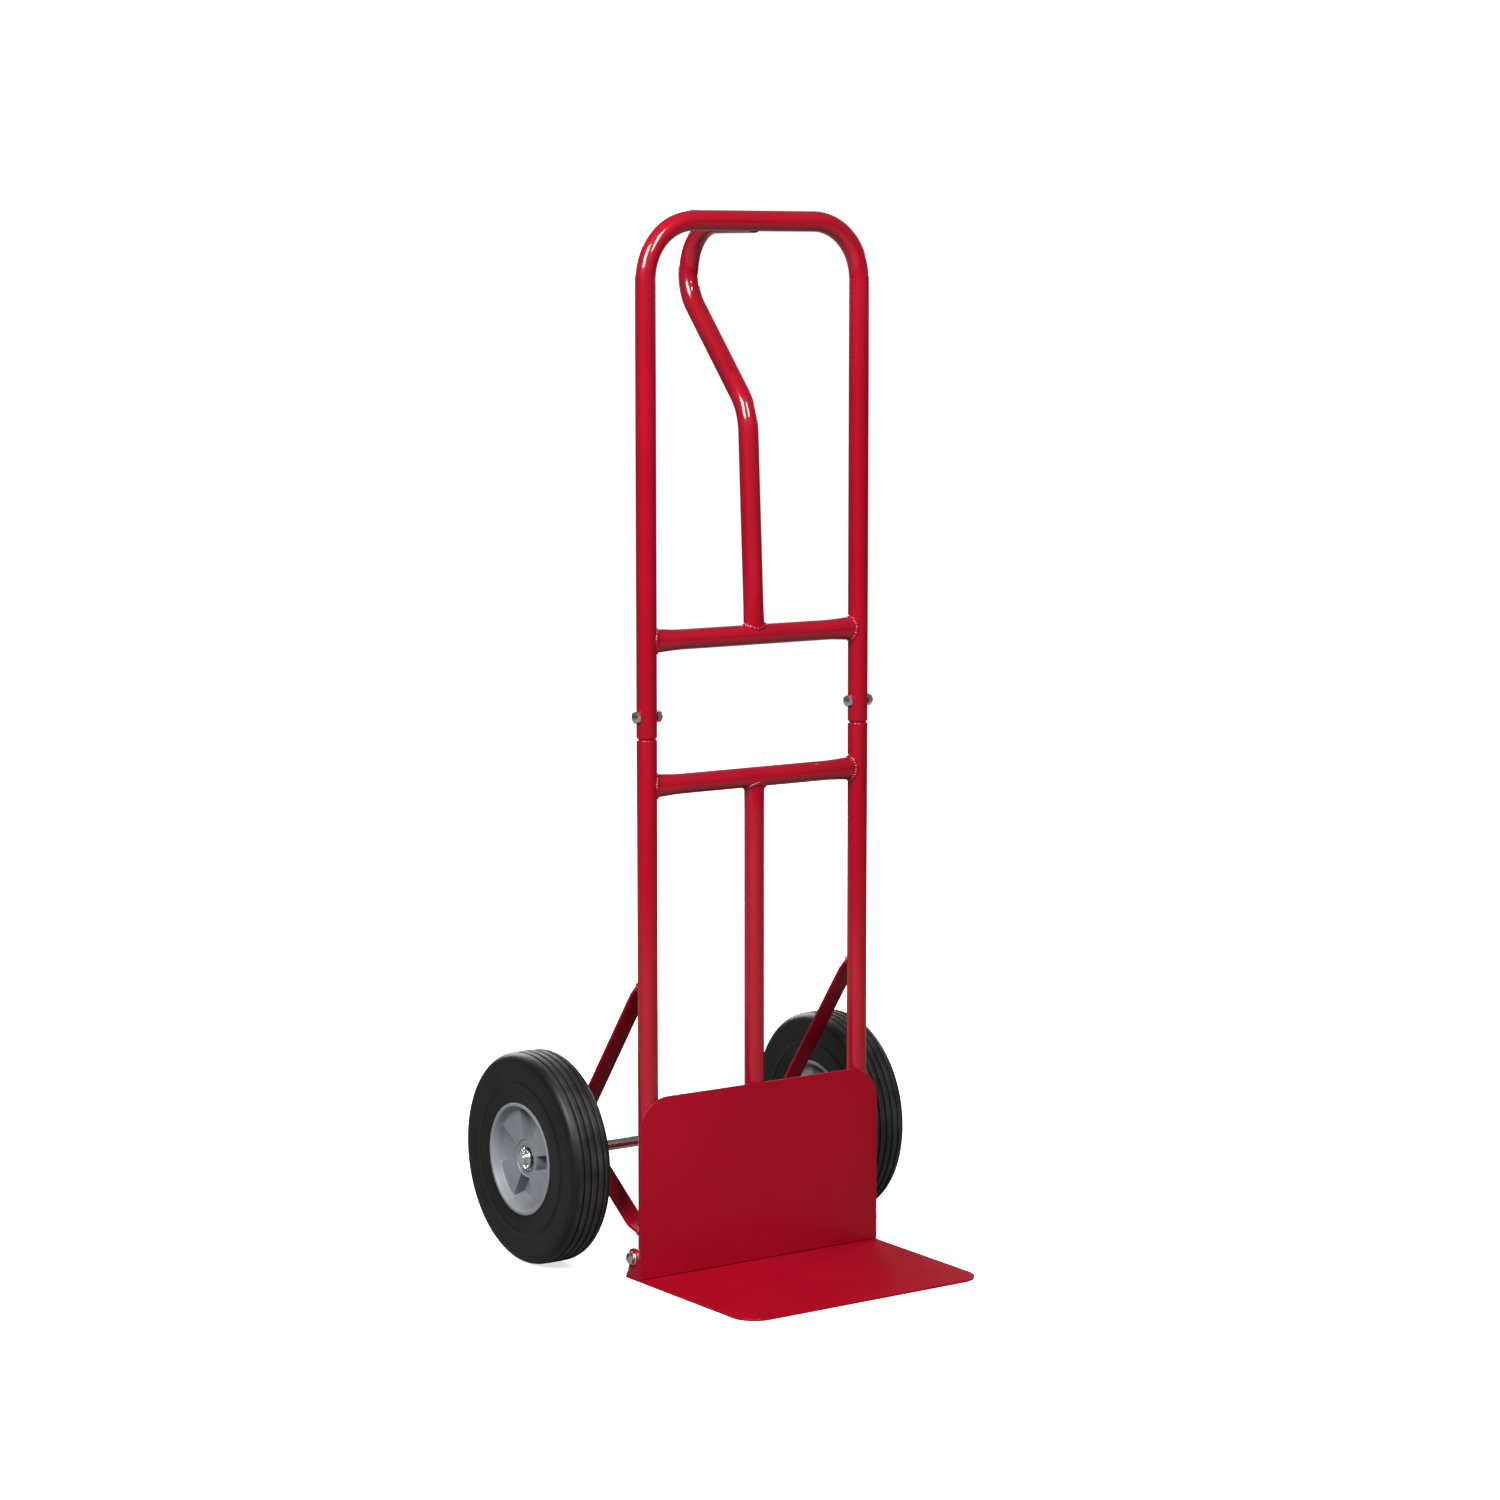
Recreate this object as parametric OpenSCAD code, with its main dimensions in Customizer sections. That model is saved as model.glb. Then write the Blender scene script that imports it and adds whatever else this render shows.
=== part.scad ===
// Two-wheel hand truck: a bolted two-piece tube frame with a looped back handle,
// a bolted-on nose plate, bent-strap wheel brackets and solid rubber tyres on ball bearings.
// Millimetres, +Z up. X runs across the truck, Y from the load (-) to the user (+).
// The origin is on the floor, under the middle of the truck's outer box.

/* [Frame tubes] */
// Height from the floor to the top of the top bar
overall_h = 1306.5; // [1080:0.5:1570]
// Distance between the centre lines of the two side tubes
post_spacing = 318; // [265:1:382]
// Outside diameter of every frame tube
tube_d = 25; // [20:0.5:30]
// Wall of every frame tube
tube_wall = 1.6; // [1.2:0.1:2.5]
// Centre-line radius of the top bar's two corners
top_bend_r = 70; // [45:1:100]
// Height of the upper crossbar's centre
upper_bar_z = 789; // [760:1:810]
// Height of the lower crossbar's centre
lower_bar_z = 612; // [540:1:625]
// Length over which a crossbar's end is pressed flat
bar_press_len = 45; // [30:1:60]
// Height of a crossbar's pressed end, over the plain tube's diameter
bar_press_rise = 5; // [2:0.5:7]

/* [Frame joint] */
// Height where the upper frame ends and the lower posts begin
seam_z = 672; // [655:1:690]
// Length of the reduced neck that slides into the upper frame
neck_len = 52; // [40:1:60]
// Height of the joint bolts above the seam
joint_bolt_rise = 25.5; // [18:0.5:32]
// Diameter of the joint bolts and the nose bolts
bolt_d = 8; // [6:0.5:10]

/* [Handle loop] */
// Setback of the loop's rearmost centre line behind the side tubes
handle_reach = 143.5; // [130:0.5:175]
// Centre-line radius of the loop's upper bend
handle_bend_r = 61; // [52:1:66]
// Slope of the loop's long diagonal, from level
handle_slope = 47.8; // [44:0.1:52]
// Setback of the knee, where the diagonal turns down
knee_y = 14; // [10:0.5:20]
// Centre-line radius of the knee
knee_bend_r = 70; // [45:1:85]
// How far the loop's start lies below the top bar's centre line
loop_drop = 2; // [0:0.5:4]

/* [Nose] */
// How far the nose plates stand out beyond the side tubes
plate_overhang = 9.5; // [8:0.5:14]
// Height of the back plate's top edge
back_plate_h = 229; // [200:1:280]
// Radius of the back plate's top corners
back_corner_r = 42; // [20:1:60]
// Thickness of the nose plates and ears
plate_t = 3; // [2.5:0.5:4]
// Reach of the toe plate in front of the back plate
toe_depth = 226; // [188:1:272]
// Reach of the toe plate behind the side tubes' centres
toe_tail = 18; // [16:0.5:24]
// How much narrower the toe plate is at each side of its front edge
toe_taper = 3; // [0:0.5:10]
// Radius of the toe plate's front corners
toe_corner_r = 32; // [15:1:50]
// Height of the nose bolts
nose_bolt_z = 28.5; // [22:0.5:32]
// Radius of the ears around the nose bolts
ear_r = 12; // [11:0.5:14]

/* [Wheel brackets and axle] */
// Setback of the axle behind the side tubes
axle_y = 150.5; // [140:0.5:185]
// Diameter of the axle
axle_d = 14; // [11.5:0.1:17]
// Width of the bracket's strap
strap_w = 25; // [20:0.5:30]
// Thickness of the bracket's strap
strap_t = 4; // [3:0.5:6]
// Height where the bracket's upper leg meets the side tube
strap_top_z = 366; // [340:1:420]
// Height where the bracket's lower leg meets the side tube
strap_foot_z = 58; // [50:1:75]
// Inside radius of the bracket's apex bend
apex_r = 12; // [8:1:16]
// How far the apex stands behind the axle
apex_back = 12.5; // [8:0.5:20]
// Wall of the sleeve that holds the axle under each bracket
sleeve_wall = 3.5; // [2.5:0.5:5]
// Length of that sleeve
sleeve_len = 28; // [25:1:34]

/* [Wheels] */
// Radius of the tyre, which is also the axle's height
tyre_r = 133.4; // [111:0.1:160]
// Width of the tyre
tyre_w = 56; // [48:1:62]
// Gap between a bracket's strap and its tyre
wheel_gap = 26; // [20:1:34]
// Radius of the wheel's barrel, where the tyre sits
barrel_r = 70.6; // [66:0.1:76]
// Number of spokes, and of pockets between them
spokes = 4; // [3:1:6]
// Depth of the spoke faces below the tyre's side
dish = 11; // [8:0.5:14]
// Number of balls in each wheel bearing
balls = 9; // [7:1:10]

/* [Hidden] */
$fn = 96;
red = "#a5102a";
zinc = "#c3c7c9";
black = "#232323";
grey = "#858b93";

// Clearances
gap = 0.05;        // running or sliding fit, on the radius
neck_gap = 0.15;   // frame neck in the upper tube, on the radius
hole_gap = 0.3;    // bolt in its hole, on the radius
cut = 1;           // how far a cutter passes through a face
lap = 0.5;         // how far a straight run reaches into the bend next to it
foot_rise = 1.5;   // how far above the crossbar's centre line the loop's foot stops
step = 0.01;       // how much thicker the wall of a bend is drawn, on each side

// Frame
tube_r = tube_d / 2;
bore_r = tube_r - tube_wall;
post_x = post_spacing / 2;
top_z = overall_h - tube_r;
neck_r = bore_r - neck_gap;
neck_wall = 1.6;
neck_show = 2;                     // bare neck between the two tubes
shoulder = tube_r - neck_r;        // rounded step down to the neck
joint_bolt_z = seam_z + joint_bolt_rise;
bar_press_y = tube_r - bar_press_rise * 0.62;   // a pressed end keeps the tube's girth
hole_r = bolt_d / 2 + hole_gap;

// Hex fasteners
hex_af = 1.625 * bolt_d;
hex_r = hex_af / sqrt(3);
head_h = 0.66 * bolt_d;
nut_h = 0.8 * bolt_d;
bolt_end = 3;                      // thread past the nut
washer_t = 1.6;
washer_r = bolt_d;

// Handle: the loop's bend, its diagonal and its knee, in the plane X = 0
loop_z = top_z - loop_drop;
loop_c = [handle_reach - handle_bend_r, loop_z - handle_bend_r];
loop_turn = 180 - handle_slope;
loop_end = loop_c + handle_bend_r * [sin(loop_turn), cos(loop_turn)];
knee = [knee_y, loop_end.y - (loop_end.x - knee_y) * tan(handle_slope)];
leg_lean = atan2(knee.x, knee.y - upper_bar_z);
knee_turn = 90 - handle_slope - leg_lean;
knee_tan = knee_bend_r * tan(knee_turn / 2);

// Nose
back_y = -tube_r;                  // rear face of the back plate
face_y = back_y - plate_t;         // load face of the back plate
nose_half = post_x + tube_r + plate_overhang;
spacer_len = plate_overhang - plate_t;
spacer_r = hole_r + 3;
nose_nut_x = post_x - tube_r;

// Axle stack, outwards from the bracket
axle_z = tyre_r;
axle_r = axle_d / 2;
sleeve_r = axle_r + gap + sleeve_wall;
sleeve_end = post_x + sleeve_len / 2;
wheel_x = post_x + strap_w / 2 + wheel_gap + tyre_w / 2;
half_w = tyre_w / 2;

// Bearings and boss, built out from the axle
ball_d = 5.5;
pitch_r = axle_r + 5.2;
groove_r = ball_d / 2 + 0.075;
race_lap = 1.2;                    // how far a race's shoulder stands off the pitch circle
cup_r = pitch_r + 4.8;
cup_w = 10;
boss_wall = 6.2;
boss_r = cup_r + boss_wall;
boss_sink = 1.5;                   // boss face below the spoke faces
boss_half = half_w - dish - boss_sink;
ring_proud = 1.5;                  // inner ring past the boss face
bearing_x = boss_half - cup_w / 2;
ring_half = cup_w / 2 + ring_proud;
tunnel_r = pitch_r + race_lap;

// Washer, pin and axle end, outwards from the bearing
end_washer_t = 2;
end_washer_r = axle_r + 5.8;
washer_x = wheel_x + boss_half + ring_proud + end_washer_t / 2;
pin_d = 3.2;
pin_x = washer_x + end_washer_t / 2 + pin_d / 2 + 0.4;
axle_half = pin_x + 4;
axle_chamfer = 1.2;

// Wheel barrel
lip_w = 6;
wall_draft = 5.5;                  // how much the dish narrows down to the spokes
floor_r = barrel_r - lip_w - wall_draft;
web_t = 8;
pocket_turn = 7.5;                 // first pocket's bearing, from straight down
pocket_span = 42;

// The whole truck is centred on its outer box
frame_y = -((face_y - toe_depth) + (axle_y + tyre_r)) / 2;
module on_truck() translate([0, frame_y, 0]) children();

// One child at each side of the truck: the same way round, or mirrored
module both_sides() for (side = [-1, 1]) translate([side * post_x, 0, 0]) children();
module both_mirrored() for (side = [0, 1]) mirror([side, 0, 0]) children();
module left_side() children();
module right_side() mirror([1, 0, 0]) children();

// A round bar along X, from x0 to x1
module bar_x(x0, x1, r) translate([x0, 0, 0]) rotate([0, 90, 0]) cylinder(h = x1 - x0, r = r);

// A tube along Z
module tube_z(z0, z1, r, inner) difference() {
    translate([0, 0, z0]) cylinder(h = z1 - z0, r = r);
    translate([0, 0, z0 - cut]) cylinder(h = z1 - z0 + 2 * cut, r = inner);
}

// A tube bend in the XY plane: starts at the origin along +Y and turns towards +X
module bend(radius, angle, extra = 0) translate([radius, 0, 0]) rotate([0, 0, 180 - angle])
    rotate_extrude(angle = angle) translate([radius, 0]) difference() {
        circle(tube_r + extra);
        circle(bore_r - extra);
    }

// A straight tube along +Y from the origin, whose ends may reach into the bends on either side
module run(length, reach = 0) rotate([-90, 0, 0]) tube_z(-reach, length + reach, tube_r, bore_r);

module bolt_hole(z) translate([0, 0, z]) bar_x(-tube_d, tube_d, hole_r);

// Upper frame: an upside-down U with a hole in each leg for its joint bolt
module upper_frame() {
    leg = top_z - top_bend_r - seam_z;
    span = post_spacing - 2 * top_bend_r;
    color(red) on_truck() difference() {
        union() {
            both_sides() tube_z(seam_z, seam_z + leg, tube_r, bore_r);
            both_mirrored() translate([-post_x, 0, seam_z + leg]) rotate([90, 0, 0]) bend(top_bend_r, 90);
            translate([-span / 2, 0, top_z]) rotate([0, 0, -90]) run(span);
        }
        both_sides() bolt_hole(joint_bolt_z);
    }
}

// Handle loop: back from the top bar, round, down the diagonal and on to the upper crossbar
module handle_tube() {
    diagonal = norm(loop_end - knee) - knee_tan;
    foot = norm(knee - [0, upper_bar_z]) - knee_tan - foot_rise;
    color(red) on_truck() difference() {
        translate([0, 0, loop_z]) rotate([0, 90, 0]) {
            run(loop_c.x, lap);
            translate([0, loop_c.x, 0]) bend(handle_bend_r, loop_turn, step);
            translate([loop_z - loop_end.y, loop_end.x, 0]) rotate([0, 0, -loop_turn]) {
                run(diagonal, lap);
                translate([0, diagonal, 0]) mirror([1, 0, 0]) {
                    bend(knee_bend_r, knee_turn, step);
                    translate(knee_bend_r * [1 - cos(knee_turn), sin(knee_turn), 0])
                        rotate([0, 0, -knee_turn]) run(foot, lap);
                }
            }
        }
        translate([0, 0, top_z]) bar_x(-tube_d, tube_d, tube_r);
        translate([0, 0, upper_bar_z]) bar_x(-tube_d, tube_d, tube_r);
    }
}

// A crossbar's pressed end: round at the bar, taller and thinner at the side tube
module pressed_end(r) hull() {
    translate([post_x - bar_press_len, 0, 0]) bar_x(0, 0.01, r, $fn = 32);
    for (dz = [-1, 1]) translate([post_x - tube_r / 2, 0, dz * (tube_r - bar_press_y + bar_press_rise / 2)])
        bar_x(0, 0.01, r - tube_r + bar_press_y, $fn = 32);
}

module crossbar(z) {
    plain = post_x - bar_press_len;
    color(red) on_truck() difference() {
        translate([0, 0, z]) {
            translate([-plain, 0, 0]) rotate([0, 90, 0]) tube_z(0, 2 * plain, tube_r, bore_r);
            both_mirrored() difference() { pressed_end(tube_r); pressed_end(bore_r); }
        }
        both_sides() translate([0, 0, z - tube_d]) cylinder(h = 2 * tube_d, r = tube_r);
    }
}
module upper_crossbar() crossbar(upper_bar_z);
module lower_crossbar() crossbar(lower_bar_z);

// Lower post: a plain tube, a rounded step and a neck that carries the upper frame
module lower_post() {
    step_z = seam_z - neck_show - shoulder;
    color(red) on_truck() translate([-post_x, 0, 0]) difference() {
        rotate_extrude() polygon(concat(
            [[bore_r, plate_t], [tube_r, plate_t], [tube_r, step_z]],
            [for (a = [15:15:90]) [tube_r - shoulder * (1 - cos(a)), step_z + shoulder * sin(a)]],
            [[neck_r, seam_z + neck_len], [neck_r - neck_wall, seam_z + neck_len],
             [neck_r - neck_wall, step_z], [bore_r, step_z - shoulder]]));
        bolt_hole(joint_bolt_z);
        bolt_hole(nose_bolt_z);
    }
}
module left_lower_post() left_side() lower_post();
module right_lower_post() right_side() lower_post();

// Centre strut: from under the lower crossbar to the toe plate, behind the back plate
module centre_strut() color(red) on_truck() difference() {
    tube_z(plate_t, lower_bar_z, tube_r, bore_r);
    translate([0, 0, lower_bar_z]) bar_x(-tube_d, tube_d, tube_r);
}

// Back plate: upright sheet with rounded top corners, standing on the toe plate
module back_plate() color(red) on_truck() translate([0, back_y, 0]) rotate([90, 0, 0])
    linear_extrude(plate_t) union() {
        translate([-nose_half, plate_t]) square([2 * nose_half, back_plate_h - plate_t - back_corner_r]);
        translate([-nose_half + back_corner_r, plate_t])
            square([2 * (nose_half - back_corner_r), back_plate_h - plate_t]);
        for (side = [-1, 1]) translate([side * (nose_half - back_corner_r), back_plate_h - back_corner_r])
            circle(back_corner_r);
    }

// Toe plate: flat on the floor, a little narrower at its rounded front
module toe_plate() {
    front_y = face_y - toe_depth;
    front_half = nose_half - toe_taper;
    lean = atan(toe_taper / (toe_depth + toe_tail - face_y));
    corner = [front_half - toe_corner_r * (1 - sin(lean)) / cos(lean), front_y + toe_corner_r];
    color(red) on_truck() linear_extrude(plate_t) difference() {
        polygon([[-nose_half, toe_tail], [nose_half, toe_tail],
                 [front_half, front_y], [-front_half, front_y]]);
        for (side = [0, 1]) mirror([side, 0]) difference() {
            polygon([corner, [corner.x, front_y - cut], [nose_half + cut, front_y - cut],
                     [nose_half + cut, corner.y - toe_corner_r * sin(lean)],
                     corner + toe_corner_r * [cos(lean), -sin(lean)]]);
            translate(corner) circle(toe_corner_r);
        }
    }
}

// Nose ear: a tab that joins both nose plates and takes the bolt through the post's foot
module nose_ear() color(red) on_truck() difference() {
    translate([-nose_half, 0, 0]) rotate([90, 0, 90]) linear_extrude(plate_t) union() {
        translate([0, nose_bolt_z]) circle(ear_r);
        polygon([[back_y, plate_t], [toe_tail, plate_t], [toe_tail - 3, plate_t + 3],
                 [ear_r * cos(30), nose_bolt_z - ear_r * sin(30)],
                 [0, nose_bolt_z + ear_r], [back_y, nose_bolt_z + ear_r]]);
    }
    translate([-nose_half, 0, nose_bolt_z]) bar_x(-cut, plate_t + cut, hole_r);
}
module left_nose_ear() left_side() nose_ear();
module right_nose_ear() right_side() nose_ear();

// Bracket: the strap's centre line as [y, z], with a bend radius at each inner corner.
// The lower leg passes the axle at the sleeve's distance, and the apex stands behind the axle.
leg_off = sleeve_r + 1 + strap_t / 2;
top_knee = [20, strap_top_z - 13.5];
foot_knee = [28, strap_foot_z + 5];
to_axle = [axle_y, axle_z] - foot_knee;
leg_rise = atan2(to_axle.y, to_axle.x) + asin(leg_off / norm(to_axle));
apex = foot_knee + (axle_y + apex_back - foot_knee.x) * [1, tan(leg_rise)];
strap_path = [[tube_r / 2, strap_top_z], top_knee, apex, foot_knee, [tube_r / 2, strap_foot_z]];
strap_r = [0, 25, apex_r + strap_t / 2, 25, 0];

// Points of one side of a bent strap: offset to its left by off, arcs at the inner corners
function unit(v) = v / norm(v);
function left_of(v) = [-v.y, v.x];
function strap_side(path, radii, off) = [
    for (i = [0:len(path) - 1])
        let (before = i == 0 ? path[1] - path[0] : path[i] - path[i - 1],
             after = i == len(path) - 1 ? before : path[i + 1] - path[i],
             u = unit(before), v = unit(after),
             turn = atan2(u.x * v.y - u.y * v.x, u * v),
             r = radii[i], back = r * tan(abs(turn) / 2), hand = turn < 0 ? -1 : 1,
             centre = path[i] - back * u + hand * r * left_of(u))
        for (k = r == 0 ? [0] : [0:12])
            r == 0 ? path[i] + off * left_of(u)
                   : centre - hand * (r - hand * off) * left_of([
                         u.x * cos(turn * k / 12) - u.y * sin(turn * k / 12),
                         u.x * sin(turn * k / 12) + u.y * cos(turn * k / 12)])
];
module wheel_bracket() {
    near = strap_side(strap_path, strap_r, strap_t / 2);
    far = strap_side(strap_path, strap_r, -strap_t / 2);
    color(red) on_truck() translate([-post_x, 0, 0]) difference() {
        translate([-strap_w / 2, 0, 0]) rotate([90, 0, 90]) linear_extrude(strap_w)
            polygon(concat(near, [for (i = [len(far) - 1:-1:0]) far[i]]));
        cylinder(h = 2 * strap_top_z, r = tube_r);
    }
}
module left_wheel_bracket() left_side() wheel_bracket();
module right_wheel_bracket() right_side() wheel_bracket();

// Sleeve: a short tube under the bracket's lower leg, with the weld pad that joins them
module axle_sleeve() {
    pad = sleeve_r + 1;
    color(red) on_truck() translate([-post_x, axle_y, axle_z]) difference() {
        union() {
            bar_x(-sleeve_len / 2, sleeve_len / 2, sleeve_r);
            translate([-strap_w / 2, 0, 0]) rotate([leg_rise, 0, 0])
                translate([0, -sleeve_r * 0.7, 0]) cube([strap_w, sleeve_r * 1.4, pad]);
        }
        bar_x(-sleeve_len, sleeve_len, axle_r + gap);
    }
}
module left_axle_sleeve() left_side() axle_sleeve();
module right_axle_sleeve() right_side() axle_sleeve();

// Axle: a plated rod with turned ends and a cross hole near each end for its split pin
module axle() color(zinc) on_truck() translate([0, axle_y, axle_z]) difference() {
    rotate([0, 90, 0]) rotate_extrude() polygon([
        [0, -axle_half], [axle_r - axle_chamfer, -axle_half], [axle_r, -axle_half + axle_chamfer],
        [axle_r, axle_half - axle_chamfer], [axle_r - axle_chamfer, axle_half], [0, axle_half]]);
    for (side = [-1, 1]) translate([side * pin_x, 0, -axle_d]) cylinder(h = 2 * axle_d, r = pin_d / 2 + gap);
}

// Rings on the axle, given by where they start and end from the truck's middle
module axle_ring(x0, x1, r) on_truck() both_mirrored() translate([0, axle_y, axle_z]) difference() {
    bar_x(x0, x1, r);
    bar_x(x0 - cut, x1 + cut, axle_r + gap);
}
module axle_spacers() color(zinc) axle_ring(sleeve_end, wheel_x - bearing_x - ring_half, axle_r + 3);
module axle_end_washers() color(zinc)
    axle_ring(washer_x - end_washer_t / 2, washer_x + end_washer_t / 2, end_washer_r);
module bearing_spacers() color(zinc)
    axle_ring(wheel_x - bearing_x + ring_half, wheel_x + bearing_x - ring_half, axle_r + 2);

// Split pin: an eye above the axle, a leg through it and two spread ends below
module split_pins() {
    eye_r = 2.6;
    wire_r = pin_d / 4;
    reach = axle_r + 1.5;
    color(zinc) on_truck() both_mirrored() translate([pin_x, axle_y, axle_z]) {
        translate([0, 0, -reach]) cylinder(h = 2 * reach, r = pin_d / 2, $fn = 32);
        translate([0, 0, reach + eye_r]) rotate([90, 0, 90])
            rotate_extrude($fn = 32) translate([eye_r, 0]) circle(wire_r, $fn = 16);
        for (way = [-1, 1]) translate([0, 0, wire_r - reach]) rotate([180 + way * 40, 0, 0])
            cylinder(h = axle_r, r = wire_r, $fn = 16);
    }
}

// Bolt along +X: a hex head that ends at the origin, then its shank
module hex_bolt(length) {
    translate([-head_h, 0, 0]) rotate([0, 90, 0]) cylinder(h = head_h, r = hex_r, $fn = 6);
    bar_x(0, length, bolt_d / 2);
}
module hex_nut() difference() {
    rotate([0, 90, 0]) cylinder(h = nut_h, r = hex_r, $fn = 6);
    bar_x(-cut, nut_h + cut, bolt_d / 2 + gap);
}

// Joint bolts: both heads face the truck's left
module joint_bolts() color(zinc) on_truck() both_sides() translate([-tube_r, 0, joint_bolt_z])
    hex_bolt(tube_d + nut_h + bolt_end);
module joint_nuts() color(zinc) on_truck() both_sides() translate([tube_r, 0, joint_bolt_z]) hex_nut();

// Nose bolts: a head outside each ear, then washer, ear, spacer, post and nut
module nose_bolts() color(zinc) on_truck() both_mirrored()
    translate([-nose_half - washer_t, 0, nose_bolt_z])
    hex_bolt(washer_t + plate_overhang + tube_d + nut_h + bolt_end);
module nose_nuts() color(zinc) on_truck() both_mirrored() translate([-nose_nut_x, 0, nose_bolt_z]) hex_nut();
module nose_washers() color(zinc) on_truck() both_mirrored()
    translate([-nose_half - washer_t, 0, nose_bolt_z]) difference() {
        bar_x(0, washer_t, washer_r);
        bar_x(-cut, washer_t + cut, hole_r);
    }
module nose_spacers() color(zinc) on_truck() both_mirrored()
    translate([-nose_half + plate_t, 0, nose_bolt_z]) difference() {
        bar_x(0, spacer_len, spacer_r);
        bar_x(-cut, spacer_len + cut, hole_r);
    }

// Half a section, as [radius, x], and the same points mirrored to the other side of the wheel
function both_halves(half) = concat(half, [for (i = [len(half) - 1:-1:0]) [half[i].x, -half[i].y]]);

// A wheel piece is drawn around Z and stands up across the truck on its axle
module on_wheel() on_truck() translate([-wheel_x, axle_y, axle_z]) rotate([0, 90, 0]) children();

// Tyre: half its section, as [radius, x], runs from the barrel out over a raised ring and the
// round shoulder to the tread, which has four grooves
groove_x = [4.8, 14.4];
groove_w = 2.6;
groove_deep = 2.6;
shoulder_r = 12;
bead_w = half_w - 1.2;
bead_step = 1;
ridge_r = barrel_r + 0.38 * (tyre_r - barrel_r);
ridge_w = 2;
ridge_slope = 1.5;
dome_r = tyre_r - 22;
crown_drop = 0.8;
crown_w = 6;
tyre_side = concat(
    [[barrel_r, bead_w - bead_step], [barrel_r + bead_step, bead_w],
     [ridge_r - ridge_w / 2 - ridge_slope, bead_w], [ridge_r - ridge_w / 2, half_w],
     [ridge_r + ridge_w / 2, half_w], [ridge_r + ridge_w / 2 + ridge_slope, bead_w + ridge_slope / 2],
     [dome_r, half_w - bead_step / 4], [tyre_r - shoulder_r, half_w]],
    [for (a = [10:10:80]) [tyre_r - crown_drop - shoulder_r + shoulder_r * sin(a),
                           half_w - shoulder_r + shoulder_r * cos(a)]],
    [[tyre_r - crown_drop, half_w - shoulder_r], [tyre_r, half_w - shoulder_r - crown_w]]);
module tyre() color(black) on_wheel() rotate_extrude() difference() {
    polygon(both_halves(tyre_side));
    for (side = [-1, 1], x = groove_x) translate([tyre_r - groove_deep, side * x - groove_w / 2])
        square([groove_deep + cut, groove_w]);
}
module left_tyre() left_side() tyre();
module right_tyre() right_side() tyre();

// Hub: barrel, web and boss turned from one section, spokes left standing between the pockets
module hub() color(grey) on_wheel() difference() {
    rotate_extrude() polygon(both_halves([
        [tunnel_r, bearing_x - cup_w / 2], [cup_r, bearing_x - cup_w / 2],
        [cup_r, boss_half], [boss_r, boss_half], [boss_r, half_w - dish], [floor_r, half_w - dish],
        [barrel_r - lip_w, half_w - 0.8], [barrel_r - lip_w + 0.8, half_w],
        [barrel_r - 0.8, half_w], [barrel_r, half_w - 0.8]]));
    for (side = [0, 1], k = [0:spokes - 1]) mirror([0, 0, side]) rotate([0, 0, pocket_turn + k * 360 / spokes])
        translate([0, 0, web_t / 2]) linear_extrude(half_w) intersection() {
            difference() { circle(floor_r - 0.6); circle(boss_r + 0.6); }
            polygon([[0, 0], 2 * barrel_r * [cos(pocket_span / 2), -sin(pocket_span / 2)],
                     2 * barrel_r * [cos(pocket_span / 2), sin(pocket_span / 2)]]);
        }
}
module left_hub() left_side() hub();
module right_hub() right_side() hub();

// Bearings: a cup pressed in each end of the boss, an inner ring on the axle, balls between
module race_groove() translate([pitch_r, 0]) circle(groove_r);
module both_bearings() on_wheel() for (side = [-1, 1]) translate([0, 0, side * bearing_x]) children();
module bearing_cups() color(zinc) both_bearings() rotate_extrude() difference() {
    translate([pitch_r + race_lap, -cup_w / 2]) square([cup_r - pitch_r - race_lap, cup_w]);
    race_groove();
}
module inner_rings() color(zinc) both_bearings() rotate_extrude() difference() {
    translate([axle_r + gap, -ring_half]) square([pitch_r - race_lap - axle_r - gap, 2 * ring_half]);
    race_groove();
}
module bearing_balls() color(zinc) both_bearings()
    for (k = [0:balls - 1]) rotate([0, 0, k * 360 / balls]) translate([pitch_r, 0, 0]) sphere(d = ball_d);
module left_bearing_cups() left_side() bearing_cups();
module right_bearing_cups() right_side() bearing_cups();
module left_inner_rings() left_side() inner_rings();
module right_inner_rings() right_side() inner_rings();
module left_bearing_balls() left_side() bearing_balls();
module right_bearing_balls() right_side() bearing_balls();

upper_frame();
handle_tube();
upper_crossbar();
lower_crossbar();
left_lower_post();
right_lower_post();
centre_strut();
back_plate();
toe_plate();
left_nose_ear();
right_nose_ear();
left_wheel_bracket();
right_wheel_bracket();
left_axle_sleeve();
right_axle_sleeve();
axle();
axle_spacers();
axle_end_washers();
split_pins();
joint_bolts();
joint_nuts();
nose_bolts();
nose_nuts();
nose_washers();
nose_spacers();
left_tyre();
right_tyre();
left_hub();
right_hub();
left_bearing_cups();
right_bearing_cups();
left_inner_rings();
right_inner_rings();
left_bearing_balls();
right_bearing_balls();
bearing_spacers();
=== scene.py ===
# %% [markdown]
# # A two-wheel hand truck
#
# The hand truck is a bolted tube frame that stands on a steel nose plate and two rubber tyres.
# The sizes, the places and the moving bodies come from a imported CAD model, which is loaded here as a
# fixed frame. Each cell then builds one kind of piece or one finish around that frame, so that every
# visible surface is a clean, smooth mesh with a procedural material.

# %% Load the frame
import math

import bmesh
import bpy
from mathutils import Matrix, Vector


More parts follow.
